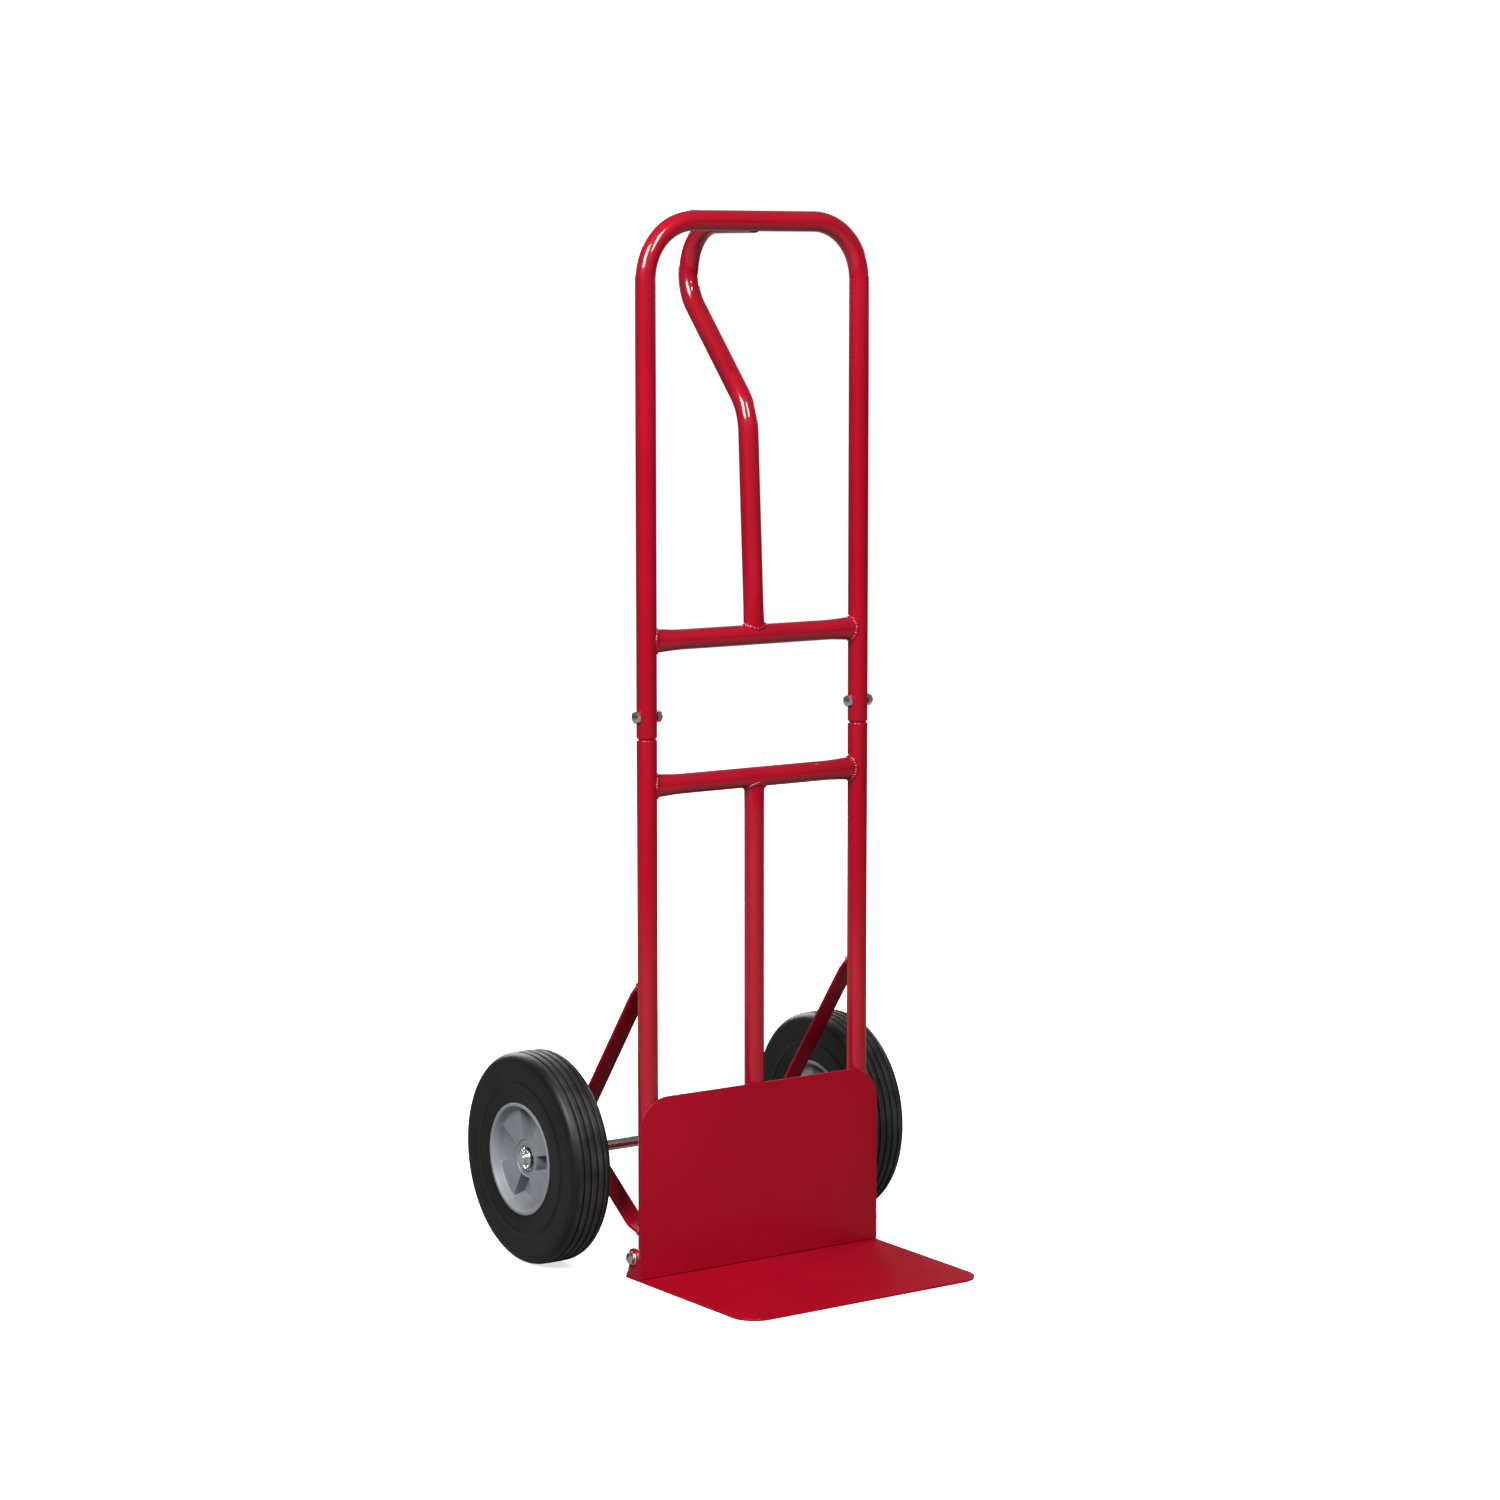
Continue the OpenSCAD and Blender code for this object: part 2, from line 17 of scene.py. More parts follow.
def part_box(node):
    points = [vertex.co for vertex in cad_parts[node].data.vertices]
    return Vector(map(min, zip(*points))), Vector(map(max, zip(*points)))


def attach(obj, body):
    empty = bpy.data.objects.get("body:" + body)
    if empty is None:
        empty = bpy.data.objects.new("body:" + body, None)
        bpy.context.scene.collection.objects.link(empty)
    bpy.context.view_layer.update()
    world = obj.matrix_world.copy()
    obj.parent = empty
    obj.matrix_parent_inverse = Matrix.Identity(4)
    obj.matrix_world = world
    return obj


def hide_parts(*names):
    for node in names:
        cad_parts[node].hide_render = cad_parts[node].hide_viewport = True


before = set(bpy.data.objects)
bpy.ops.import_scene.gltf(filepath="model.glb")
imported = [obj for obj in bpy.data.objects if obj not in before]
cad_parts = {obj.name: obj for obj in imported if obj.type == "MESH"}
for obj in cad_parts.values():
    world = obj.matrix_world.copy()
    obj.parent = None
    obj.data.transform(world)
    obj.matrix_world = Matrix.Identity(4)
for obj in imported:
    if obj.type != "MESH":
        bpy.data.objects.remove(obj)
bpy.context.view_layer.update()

# %% [markdown]
# ## Places and sizes from the frame
#
# A CAD node's box says where a piece is and how big it is. Reading the boxes keeps each new piece in
# step with the CAD model, so nothing has to be fitted by eye. Bend radii, slopes and small details, which
# a box can't tell, are written as numbers beside the piece they belong to. All lengths are in metres.

# %% Measure the frame
MM = 0.001
SIDES = (-1, 1)
SIDE_NAMES = ((-1, "left"), (1, "right"))
post_low, post_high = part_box("left_lower_post")
frame_low, frame_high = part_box("upper_frame")
TUBE_R = (post_high[0] - post_low[0]) / 2
POST_X = -(post_low[0] + post_high[0]) / 2
POST_Y = (post_low[1] + post_high[1]) / 2
TOP_Z = frame_high[2] - TUBE_R
SEAM_Z = frame_low[2]


def centre(node):
    """The middle of a CAD node's box."""
    low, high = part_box(node)
    return Vector([(a + b) / 2 for a, b in zip(low, high)])


UPPER_BAR_Z = centre("upper_crossbar").z
LOWER_BAR_Z = centre("lower_crossbar").z
AXLE = centre("axle")
TYRE_R = (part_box("left_tyre")[1][2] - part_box("left_tyre")[0][2]) / 2
WHEEL_X = -centre("left_tyre").x
HALF_W = (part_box("left_tyre")[1][0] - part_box("left_tyre")[0][0]) / 2
PLATE_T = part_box("toe_plate")[1][2]
print(f"tubes {2 * TUBE_R:.4f} across, {2 * POST_X:.3f} apart; tyres {2 * TYRE_R:.3f} across")

# %% [markdown]
# ## Node trees as arithmetic
#
# Shader and geometry trees need a lot of maths nodes, and wiring them one by one hides the formula.
# `Value` wraps one socket and overloads + - *, so that `1 - mask * 0.5` adds the nodes for it.
# `Nodes.add` makes any other node: its type, its settings, and the values or links of its sockets.
# The same two classes serve materials and Geometry Nodes, because both kinds of tree share Math nodes.

# %% The node helpers


class Value:
    """One output socket; arithmetic on it adds Math nodes."""

    def __init__(self, nodes, socket):
        self.nodes = nodes
        self.socket = socket

    def __add__(self, other):
        return self.nodes.maths("ADD", self, other)

    def __sub__(self, other):
        return self.nodes.maths("SUBTRACT", self, other)

    def __mul__(self, other):
        return self.nodes.maths("MULTIPLY", self, other)

    def __rsub__(self, other):
        return self.nodes.maths("SUBTRACT", other, self)

    __radd__ = __add__
    __rmul__ = __mul__


class Nodes:
    """A node tree, and the calls that grow it."""

    def __init__(self, tree):
        self.tree = tree

    def put(self, value, socket):
        """Links a Value to a socket, or sets the socket to a plain value."""
        if isinstance(value, Value):
            self.tree.links.new(value.socket, socket)
        else:
            socket.default_value = value

    def add(self, kind, settings=None, inputs=None, output=0):
        """Adds a node: settings first, then its sockets. Returns one output as a Value."""
        node = self.tree.nodes.new(kind)
        for name, setting in (settings or {}).items():
            setattr(node, name, setting)
        for name, value in (inputs or {}).items():
            self.put(value, node.inputs[name])
        return Value(self, node.outputs[output])

    def maths(self, operation, a, b=0.0):
        return self.add("ShaderNodeMath", {"operation": operation}, {0: a, 1: b})

    def vector(self, operation, a, b=(0, 0, 0), output=0):
        return self.add("ShaderNodeVectorMath", {"operation": operation}, {0: a, 1: b}, output)

    def scaled(self, a, factor):
        return self.add("ShaderNodeVectorMath", {"operation": "SCALE"}, {0: a, "Scale": factor})

    def noise(self, where, scale, detail=2.0, roughness=0.5):
        inputs = {"Vector": where, "Scale": scale, "Detail": detail, "Roughness": roughness}
        return self.add("ShaderNodeTexNoise", None, inputs)

    def ease(self, value, low, high, to_low=0.0, to_high=1.0):
        """A smooth step from to_low to to_high while the value goes from low to high."""
        inputs = {"Value": value, "From Min": low, "From Max": high, "To Min": to_low, "To Max": to_high}
        return self.add("ShaderNodeMapRange", {"interpolation_type": "SMOOTHSTEP"}, inputs)

    def mix(self, factor, a, b):
        """Mixes two colours."""
        node = self.tree.nodes.new("ShaderNodeMix")
        node.data_type = "RGBA"
        self.put(factor, node.inputs[0])
        self.put(a, node.inputs[6])
        self.put(b, node.inputs[7])
        return Value(self, node.outputs[2])

    def bump(self, height, distance, strength):
        inputs = {"Height": height, "Distance": distance, "Strength": strength}
        return self.add("ShaderNodeBump", None, inputs)


def new_material(name, fixed):
    """A material whose Principled shader has these constant sockets. Returns it with its tree."""
    material = bpy.data.materials.new(name)
    material.use_nodes = True
    nodes = Nodes(material.node_tree)
    shader = material.node_tree.nodes["Principled BSDF"]
    for socket, value in fixed.items():
        shader.inputs[socket].default_value = value
    where = Value(nodes, nodes.tree.nodes.new("ShaderNodeTexCoord").outputs["Object"])
    return material, nodes, shader, where


print("node helpers ready")

# %% [markdown]
# ## Red powder coat
#
# Powder coat is baked plastic over steel: a deep colour under a clear, glossy skin. The skin is never
# quite flat. Where the powder ran together it has the fine ripple called orange peel, which is what
# breaks up the reflections. A flat red would look like toy plastic, so the colour drifts a little over
# a hand's width, and two sizes of noise feed a very shallow bump.

# %% Make the powder coat


def powder_coat(name, deep, bright, rough, coat, coat_rough):
    fixed = {"IOR": 1.5, "Specular IOR Level": 0.1, "Coat Weight": coat, "Coat Roughness": coat_rough}
    material, nodes, shader, where = new_material(name, fixed)
    drift = nodes.noise(where, scale=7.0, detail=3.0)
    fine = nodes.noise(where, scale=90.0)
    nodes.put(nodes.mix(nodes.ease(drift, 0.3, 0.7), deep, bright), shader.inputs["Base Color"])
    nodes.put(rough + fine * 0.1 + drift * 0.06, shader.inputs["Roughness"])
    small_ripple = nodes.noise(where, scale=420.0, detail=1.0)
    wide_ripple = nodes.noise(where, scale=150.0, detail=1.0)
    peel = nodes.bump(small_ripple * 0.6 + wide_ripple, distance=0.03 * MM, strength=0.25)
    nodes.put(peel, shader.inputs["Normal"])
    return material


tube_red = powder_coat("red powder coat on tube", deep=(0.250, 0.0014, 0.0103, 1),
                       bright=(0.285, 0.0020, 0.0127, 1), rough=0.22, coat=0.9, coat_rough=0.07)
plate_red = powder_coat("red powder coat on plate", deep=(0.252, 0.0013, 0.0100, 1),
                        bright=(0.280, 0.0018, 0.0120, 1), rough=0.34, coat=0.12, coat_rough=0.2)
print("finish:", tube_red.name, "and", plate_red.name)

# %% [markdown]
# ## Zinc plate
#
# The axle, bolts and washers are steel with a thin bright zinc skin. Zinc has a grey tint and a soft
# sparkle of crystals, and its passivation leaves faint blue and straw patches. The shader is fully
# metallic, with the tint and the roughness following two scales of noise.

# %% Make the zinc and the bearing steel


def plated(name, cool, warm, rough, grain):
    material, nodes, shader, where = new_material(name, {"Metallic": 1.0})
    patches = nodes.noise(where, scale=130.0, detail=3.0, roughness=0.6)
    crystals = nodes.noise(where, scale=grain, roughness=0.7)
    nodes.put(nodes.mix(nodes.ease(patches, 0.35, 0.65), cool, warm), shader.inputs["Base Color"])
    nodes.put(rough + crystals * 0.14 + patches * 0.08, shader.inputs["Roughness"])
    nodes.put(nodes.bump(crystals, distance=0.05 * MM, strength=0.4), shader.inputs["Normal"])
    return material


zinc = plated("bright zinc plate", cool=(0.80, 0.83, 0.86, 1), warm=(0.88, 0.86, 0.81, 1),
              rough=0.10, grain=900.0)
steel = plated("ground bearing steel", cool=(0.50, 0.51, 0.53, 1), warm=(0.56, 0.56, 0.55, 1),
               rough=0.14, grain=1400.0)
print("finish:", zinc.name, "and", steel.name)

# %% [markdown]
# ## Moulded rubber and moulded plastic
#
# Rubber from a mould is a soft black with a faint bloom, and it carries the tool marks of the mould as
# fine rings round the axle. The tread is painted a lighter dark grey in patches: partly the scuffing of
# rolling, partly a painted sheen where the tread catches the light. Rings and tread both need the
# distance from the axle, which Vector Math works out from the object's coordinates. The hub is a grey
# plastic with a fine grain and the same kind of rings.

# %% Make the rubber and the plastic
TYRE_RINGS, HUB_RINGS = 1.1 * MM, 0.8 * MM
# Where the tread's painted sheen and scuffing start and where they are full, as distances from the axle.
SCUFF_AND_SHEEN_START, SCUFF_AND_SHEEN_FULL = TYRE_R - 2.5 * MM, TYRE_R - 0.4 * MM


def from_axle(nodes, where):
    """The distance of a point from the wheels' common axis, which runs along X."""
    flat = nodes.vector("MULTIPLY", where, (0, 1, 1))
    return nodes.vector("DISTANCE", flat, (0, AXLE.y, AXLE.z), "Value")


def moulded_rubber():
    material, nodes, shader, where = new_material("moulded black rubber", {"Specular IOR Level": 0.26})
    radius = from_axle(nodes, where)
    bloom = nodes.noise(where, scale=26.0, detail=4.0, roughness=0.6)
    grit = nodes.noise(where, scale=650.0, roughness=0.6)
    wear_and_sheen_noise = nodes.noise(where, scale=24.0, detail=4.0, roughness=0.6)
    rings = nodes.maths("SINE", radius * (2 * math.pi / TYRE_RINGS))
    # Painted sheen and scuff: the outer tread is painted a lighter grey in patches, partly the scuffing of
    # rolling, partly a painted sheen where the tread catches the light.
    scuff_and_sheen = nodes.ease(radius, SCUFF_AND_SHEEN_START, SCUFF_AND_SHEEN_FULL) * nodes.ease(wear_and_sheen_noise, 0.2, 0.8)
    body = nodes.mix(nodes.ease(bloom, 0.3, 0.75), (0.0040, 0.0040, 0.0038, 1), (0.0080, 0.0078, 0.0074, 1))
    nodes.put(nodes.mix(scuff_and_sheen * 0.8, body, (0.042, 0.042, 0.041, 1)), shader.inputs["Base Color"])
    nodes.put(0.36 + bloom * 0.12 + scuff_and_sheen * 0.12, shader.inputs["Roughness"])
    height = grit * 0.5 + rings * 0.12 + bloom * 0.4
    nodes.put(nodes.bump(height, distance=0.16 * MM, strength=0.5), shader.inputs["Normal"])
    return material


def moulded_plastic():
    material, nodes, shader, where = new_material("moulded grey plastic", {"IOR": 1.46})
    flow = nodes.noise(where, scale=38.0, detail=3.0, roughness=0.55)
    grain = nodes.noise(where, scale=1500.0, detail=1.0)
    rings = nodes.maths("SINE", from_axle(nodes, where) * (2 * math.pi / HUB_RINGS))
    colour = nodes.mix(nodes.ease(flow, 0.3, 0.7), (0.168, 0.180, 0.200, 1), (0.196, 0.208, 0.228, 1))
    nodes.put(colour, shader.inputs["Base Color"])
    nodes.put(0.36 + flow * 0.16, shader.inputs["Roughness"])
    nodes.put(nodes.bump(grain + rings * 0.1, distance=0.08 * MM, strength=0.5), shader.inputs["Normal"])
    return material


rubber = moulded_rubber()
plastic = moulded_plastic()
print("finish:", rubber.name, "and", plastic.name)

# %% [markdown]
# ## Mesh helpers
#
# Every piece ends the same way: doubles merged, normals made to point outwards, faces shaded smooth
# except across true edges, one material, and a ride on a body of the CAD frame. `place` does the last
# part. It also says which CAD node the piece stands for, so that node is hidden.

# %% The mesh helpers
SHARP = math.radians(38)


def finish_mesh(mesh, material):
    """Merges doubles, turns faces outwards and shades smooth but for sharp edges."""
    work = bmesh.new()
    work.from_mesh(mesh)
    bmesh.ops.remove_doubles(work, verts=work.verts, dist=1e-6)
    bmesh.ops.recalc_face_normals(work, faces=work.faces)
    work.to_mesh(mesh)
    work.free()
    mesh.materials.clear()
    mesh.materials.append(material)
    mesh.polygons.foreach_set("use_smooth", [True] * len(mesh.polygons))
    mesh.set_sharp_from_angle(angle=SHARP)
    mesh.update()


def new_object(name, verts, faces, material):
    mesh = bpy.data.meshes.new(name)
    mesh.from_pydata([tuple(v) for v in verts], [], faces)
    finish_mesh(mesh, material)
    piece = bpy.data.objects.new(name, mesh)
    bpy.context.scene.collection.objects.link(piece)
    return piece


def place(piece, body, slot, *nodes):
    """The piece rides on a body and stands for these CAD nodes, which are hidden. The slot is not used."""
    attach(piece, body)
    if nodes:
        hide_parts(*nodes)
    print(f"{piece.name}: {len(piece.data.polygons)} faces on {body}")
    return piece


def joined(name, shells, material):
    """One object from several (verts, faces) shells."""
    verts, faces = [], []
    for shell_verts, shell_faces in shells:
        start = len(verts)
        verts += shell_verts
        faces += [[i + start for i in face] for face in shell_faces]
    return new_object(name, verts, faces, material)


def loft(rings, closed=False, caps=True):
    """A shell through rings of equally many points: a tube, or a torus when closed."""
    count, around = len(rings), len(rings[0])
    verts = [p for ring in rings for p in ring]
    faces = []
    for i in range(count if closed else count - 1):
        a, b = i * around, (i + 1) % count * around
        for k in range(around):
            n = (k + 1) % around
            faces.append([a + k, a + n, b + n, b + k])
    if caps and not closed:
        faces.append(list(range(around)))
        faces.append([(count - 1) * around + k for k in range(around)])
    return verts, faces


def full_turn(count):
    """Angles at even steps round a circle."""
    return [2 * math.pi * k / count for k in range(count)]


def lathe(profile, where, segments=96):
    """Turns a closed profile of (radius, x) points about the X axis at a place."""
    return loft([[where + Vector((x, r * math.sin(a), r * math.cos(a))) for r, x in profile]
                 for a in full_turn(segments)], closed=True)


def arc(cx, cy, r, start, end, steps):
    """Points on an arc, from start to end in degrees."""
    turn = [math.radians(start + (end - start) * i / steps) for i in range(steps + 1)]
    return [(cx + r * math.cos(t), cy + r * math.sin(t)) for t in turn]


def corner_arc(before, corner, after, radius, turn_step, fewest=4):
    """The arc that rounds a corner, in steps of about turn_step degrees."""
    u, v = (corner - before).normalized(), (after - corner).normalized()
    turn = u.angle(v)
    normal = (v - u * u.dot(v)).normalized()
    middle = corner - u * radius * math.tan(turn / 2) + normal * radius
    steps = max(fewest, round(math.degrees(turn) / turn_step))
    angles = [turn * i / steps for i in range(steps + 1)]
    return [middle - normal * radius * math.cos(t) + u * radius * math.sin(t) for t in angles]


def bent_path(corners, radii, step=4 * MM, turn_step=4.0):
    """A line through corners, with an arc of the given radius at each inner corner."""
    corners = [Vector(c) for c in corners]
    points = [corners[0]]
    for before, corner, after, radius in zip(corners, corners[1:], corners[2:], radii):
        points += corner_arc(before, corner, after, radius, turn_step)
    points.append(corners[-1])
    dense = [points[0]]
    for a, b in zip(points, points[1:]):
        parts = max(1, round((b - a).length / step))
        dense += [a.lerp(b, i / parts) for i in range(1, parts + 1)]
    return dense


def sweep(points, section, side):
    """Carries a section along a flat path. The section's points are (along side, away from it)."""
    rings = []
    for i, p in enumerate(points):
        ahead = points[min(i + 1, len(points) - 1)] - points[max(i - 1, 0)]
        out = ahead.normalized().cross(side)
        rings.append([p + side * a + out * b for a, b in section])
    return loft(rings)


def rounded_box_section(width, height, r, steps=3):
    """A rectangle with round corners, as points in order."""
    w, h = width / 2 - r, height / 2 - r
    corners = ((w, h, 0), (-w, h, 90), (-w, -h, 180), (w, -h, 270))
    return [p for x, y, a in corners for p in arc(x, y, r, a, a + 90, steps)]


print("mesh helpers ready")

# %% [markdown]
# ## A tree that draws tubes
#
# A bent steel tube is a circle carried along a line, so the frame's tubes are a Geometry Nodes tree:
# Mesh to Curve turns a drawn path into a curve, and Curve to Mesh carries a circle along it. Where a
# tube is welded to another, its end is pressed into an oval in a vice first. The tree does that too:
# it keeps each ring's centre and its distance from the tube's end, and near the end it moves every
# point away from the centre along one axis and towards it along the other.

# %% Build the tube tree
TUBE_SIDES = 48


def start_tree(name, **more):
    """A geometry tree that takes a geometry, these (kind, value) inputs and a material."""
    tree = bpy.data.node_groups.new(name, "GeometryNodeTree")
    sockets = {"Geometry": ("Geometry", None), **more, "Material": ("Material", None)}
    for key, (kind, value) in sockets.items():
        label = key.replace("_", " ")
        socket = tree.interface.new_socket(label, in_out="INPUT", socket_type="NodeSocket" + kind)
        if value is not None:
            socket.default_value = value
    tree.interface.new_socket("Geometry", in_out="OUTPUT", socket_type="NodeSocketGeometry")
    nodes = Nodes(tree)
    start = tree.nodes.new("NodeGroupInput")
    return nodes, {socket.name: Value(nodes, socket) for socket in start.outputs if socket.name}


def end_tree(nodes, geometry, given):
    """Every tree ends the same way: real geometry that wears the material."""
    real = nodes.add("GeometryNodeRealizeInstances", None, {"Geometry": geometry})
    inputs = {"Geometry": real, "Material": given["Material"]}
    coated = nodes.add("GeometryNodeSetMaterial", None, inputs)
    nodes.put(coated, nodes.tree.nodes.new("NodeGroupOutput").inputs["Geometry"])
    return nodes.tree


def tube_tree():
    nodes, given = start_tree(
        "tube along a path", Radius=("Float", TUBE_R), Sides=("Int", TUBE_SIDES),
        Press_length=("Float", 45 * MM), Press_first_end=("Float", 0.0), Press_last_end=("Float", 0.0),
        Taller_by=("Float", 0.17), Thinner_by=("Float", 0.25), Tall_axis=("Vector", (0, 0, 1)))
    curve = nodes.add("GeometryNodeMeshToCurve", None, {"Mesh": given["Geometry"]})
    spot = nodes.add("GeometryNodeInputPosition")
    along = nodes.add("GeometryNodeSplineParameter", output="Length")
    total = nodes.add("GeometryNodeSplineLength", output="Length")
    first = nodes.ease(along, 0.0, given["Press length"], 1.0, 0.0) * given["Press first end"]
    last = nodes.ease(total - along, 0.0, given["Press length"], 1.0, 0.0) * given["Press last end"]
    pressed = nodes.maths("MAXIMUM", first, last)

    keep_centre = nodes.tree.nodes.new("GeometryNodeCaptureAttribute")
    keep_centre.capture_items.new("VECTOR", "Centre")
    keep_centre.capture_items.new("FLOAT", "Pressed")
    nodes.put(curve, keep_centre.inputs["Geometry"])
    nodes.put(spot, keep_centre.inputs["Centre"])
    nodes.put(pressed, keep_centre.inputs["Pressed"])
    line = Value(nodes, keep_centre.outputs["Geometry"])
    middle = Value(nodes, keep_centre.outputs["Centre"])
    press = Value(nodes, keep_centre.outputs["Pressed"])

    ring = nodes.add("GeometryNodeCurvePrimitiveCircle", None,
                     {"Resolution": given["Sides"], "Radius": given["Radius"]})
    wall = nodes.add("GeometryNodeCurveToMesh", None,
                     {"Curve": line, "Profile Curve": ring, "Fill Caps": True})
    arm = nodes.vector("SUBTRACT", nodes.add("GeometryNodeInputPosition"), middle)
    tall = nodes.vector("DOT_PRODUCT", arm, given["Tall axis"], "Value")
    tall_part = nodes.scaled(given["Tall axis"], tall)
    thin_part = nodes.vector("SUBTRACT", arm, tall_part)
    moved = nodes.vector("ADD", nodes.scaled(tall_part, 1 + press * given["Taller by"]),
                         nodes.scaled(thin_part, 1 - press * given["Thinner by"]))
    shaped = nodes.add("GeometryNodeSetPosition", None,
                       {"Geometry": wall, "Position": nodes.vector("ADD", middle, moved)})
    return end_tree(nodes, shaped, given)


TUBE_TREE = tube_tree()
print(TUBE_TREE.name, "has", len(TUBE_TREE.nodes), "nodes")

# %% [markdown]
# ## Running a tree
#
# A tree is a recipe, and a modifier runs it on an object. `run_tree` gives the modifier its inputs by
# each socket's identifier, takes the evaluated result as a plain mesh, and throws the modifier away,
# so that the piece that is left is ordinary geometry. Points can carry a direction for a tree to read.

# %% Run a tree on drawn points and lines


def run_tree(name, tree, verts, edges, material, directions=(), **inputs):
    source = bpy.data.meshes.new(name)
    source.from_pydata([tuple(v) for v in verts], edges, [])
    if directions:
        facing = source.attributes.new("direction", "FLOAT_VECTOR", "POINT")
        for item, way in zip(facing.data, directions):
            item.vector = way
    piece = bpy.data.objects.new(name, source)
    bpy.context.scene.collection.objects.link(piece)
    modifier = piece.modifiers.new("tree", "NODES")
    modifier.node_group = tree
    named = {item.name: item.identifier for item in tree.interface.items_tree if item.in_out == "INPUT"}
    for key, value in inputs.items():
        modifier[named[key.replace("_", " ")]] = value
    modifier[named["Material"]] = material
    piece.update_tag()
    depsgraph = bpy.context.evaluated_depsgraph_get()
    result = bpy.data.meshes.new_from_object(piece.evaluated_get(depsgraph))
    piece.modifiers.remove(modifier)
    piece.data = result
    result.name = name
    bpy.data.meshes.remove(source)
    finish_mesh(result, material)
    return piece


def line_edges(count, closed=False):
    return [(i, (i + 1) % count) for i in range(count if closed else count - 1)]


def tube(name, path, **inputs):
    return run_tree(name, TUBE_TREE, path, line_edges(len(path)), tube_red, **inputs)


print("trees run on a line of edges")

# %% [markdown]
# ## The frame's tubes
#
# The upper frame is one tube bent into an upside-down U. The handle is a second tube that leaves the
# middle of the top bar, bends round through more than a right angle, comes down a long diagonal and
# stands on the upper crossbar. Both are paths with a round corner wherever the tube was bent. The
# crossbars, the centre strut and the handle's foot have pressed ends.

# %% Draw the frame's tubes
SIDEWAYS = Vector((1, 0, 0))
TOP_BEND_R = 70 * MM

u_path = bent_path([(-POST_X, POST_Y, SEAM_Z), (-POST_X, POST_Y, TOP_Z),
                    (POST_X, POST_Y, TOP_Z), (POST_X, POST_Y, SEAM_Z)], [TOP_BEND_R, TOP_BEND_R])
place(tube("upper_frame_tube", u_path), "frame", "red_powder_coat", "upper_frame")

LOOP_R, KNEE_R = 61 * MM, 70 * MM
LOOP_SLOPE = math.radians(47.8)
KNEE_Y = POST_Y + 14 * MM
handle_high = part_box("handle_tube")[1]
LOOP_Z = handle_high[2] - TUBE_R
LOOP_Y = handle_high[1] - TUBE_R
loop_middle = Vector((0, LOOP_Y - LOOP_R, LOOP_Z - LOOP_R))
loop_exit = loop_middle + LOOP_R * Vector((0, math.sin(LOOP_SLOPE), -math.cos(LOOP_SLOPE)))
knee = Vector((0, KNEE_Y, loop_exit.z - (loop_exit.y - KNEE_Y) * math.tan(LOOP_SLOPE)))


def loop_path():
    """Top run, round the bend, down the diagonal, round the knee and on to the crossbar."""
    start = Vector((0, POST_Y, LOOP_Z))
    turns = [(math.pi - LOOP_SLOPE) * i / 34 for i in range(35)]
    bend = [loop_middle + LOOP_R * Vector((0, math.sin(t), math.cos(t))) for t in turns]
    tail = bent_path([bend[-1], knee, (0, POST_Y, UPPER_BAR_Z)], [KNEE_R])
    top = bent_path([start, start.lerp(bend[0], 0.5), bend[0]], [1 * MM])
    return top[:-1] + bend + tail[1:]


handle = tube("handle_loop", loop_path(), Press_last_end=1.0, Tall_axis=SIDEWAYS, Press_length=50 * MM,
              Taller_by=0.14, Thinner_by=0.22)
place(handle, "frame", "red_powder_coat", "handle_tube")


def straight(start, end, count):
    """A straight path in even steps, close enough together for a pressed end."""
    return [Vector(start).lerp(Vector(end), i / count) for i in range(count + 1)]


BAR_END_X = POST_X - TUBE_R * 0.4
for name, height in (("upper_crossbar", UPPER_BAR_Z), ("lower_crossbar", LOWER_BAR_Z)):
    path = straight((-BAR_END_X, POST_Y, height), (BAR_END_X, POST_Y, height), 80)
    bar = tube(name + "_tube", path, Press_first_end=1.0, Press_last_end=1.0)
    place(bar, "frame", "red_powder_coat", name)

strut_path = straight((0, POST_Y, PLATE_T), (0, POST_Y, LOWER_BAR_Z), 120)
strut = tube("centre_strut_tube", strut_path, Press_last_end=1.0, Tall_axis=SIDEWAYS, Press_length=40 * MM,
             Taller_by=0.1, Thinner_by=0.15)
place(strut, "frame", "red_powder_coat", "centre_strut")

# %% [markdown]
# ## The lower posts
#
# Each lower post slides up into the upper frame. Its top is swaged: the tube is squeezed down to a neck
# that just fits inside the tube above, and the step is a round shoulder. A lathed profile says all of
# that in a few points.

# %% Turn the lower posts
NECK_SHOW = 2 * MM
NECK_STEP = 1.75 * MM
NECK_R = TUBE_R - NECK_STEP
NECK_TOP = SEAM_Z + 6 * MM


def post_profile():
    rounded = arc(NECK_R, SEAM_Z - NECK_SHOW - NECK_STEP, NECK_STEP, 0, 90, 6)
    return [(0, PLATE_T), (TUBE_R, PLATE_T), *rounded, (NECK_R, NECK_TOP), (0, NECK_TOP)]


def turned_upright(profile, where):
    """Turns a profile of (radius, z) points about a vertical line."""
    return loft([[where + Vector((r * math.cos(a), r * math.sin(a), z)) for r, z in profile]
                 for a in full_turn(TUBE_SIDES)], closed=True)


for side, name in SIDE_NAMES:
    shell = turned_upright(post_profile(), Vector((side * POST_X, POST_Y, 0)))
    post = new_object(name + "_post_tube", *shell, tube_red)
    place(post, "frame", "red_powder_coat", name + "_lower_post")

# %% [markdown]
# ## The nose plates
#
# The nose is two sheets: the toe plate that slides under the load, and the back plate that the load
# leans on. A plate cut from sheet has soft edges, because the press rolls them and the powder thickens
# there. Each plate is an outline with arcs at its corners, lofted through the thickness with the last
# millimetre of each face drawn in, so that the edge catches the light as a fine line.

# %% Cut the nose plates
back_low, back_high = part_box("back_plate")
toe_low, toe_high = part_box("toe_plate")
BACK_CORNER, TOE_CORNER = 42 * MM, 32 * MM
TOE_TAPER = 3 * MM
FOOT_CORNER = 0.4 * MM
PLATE_EDGE = 1.0 * MM


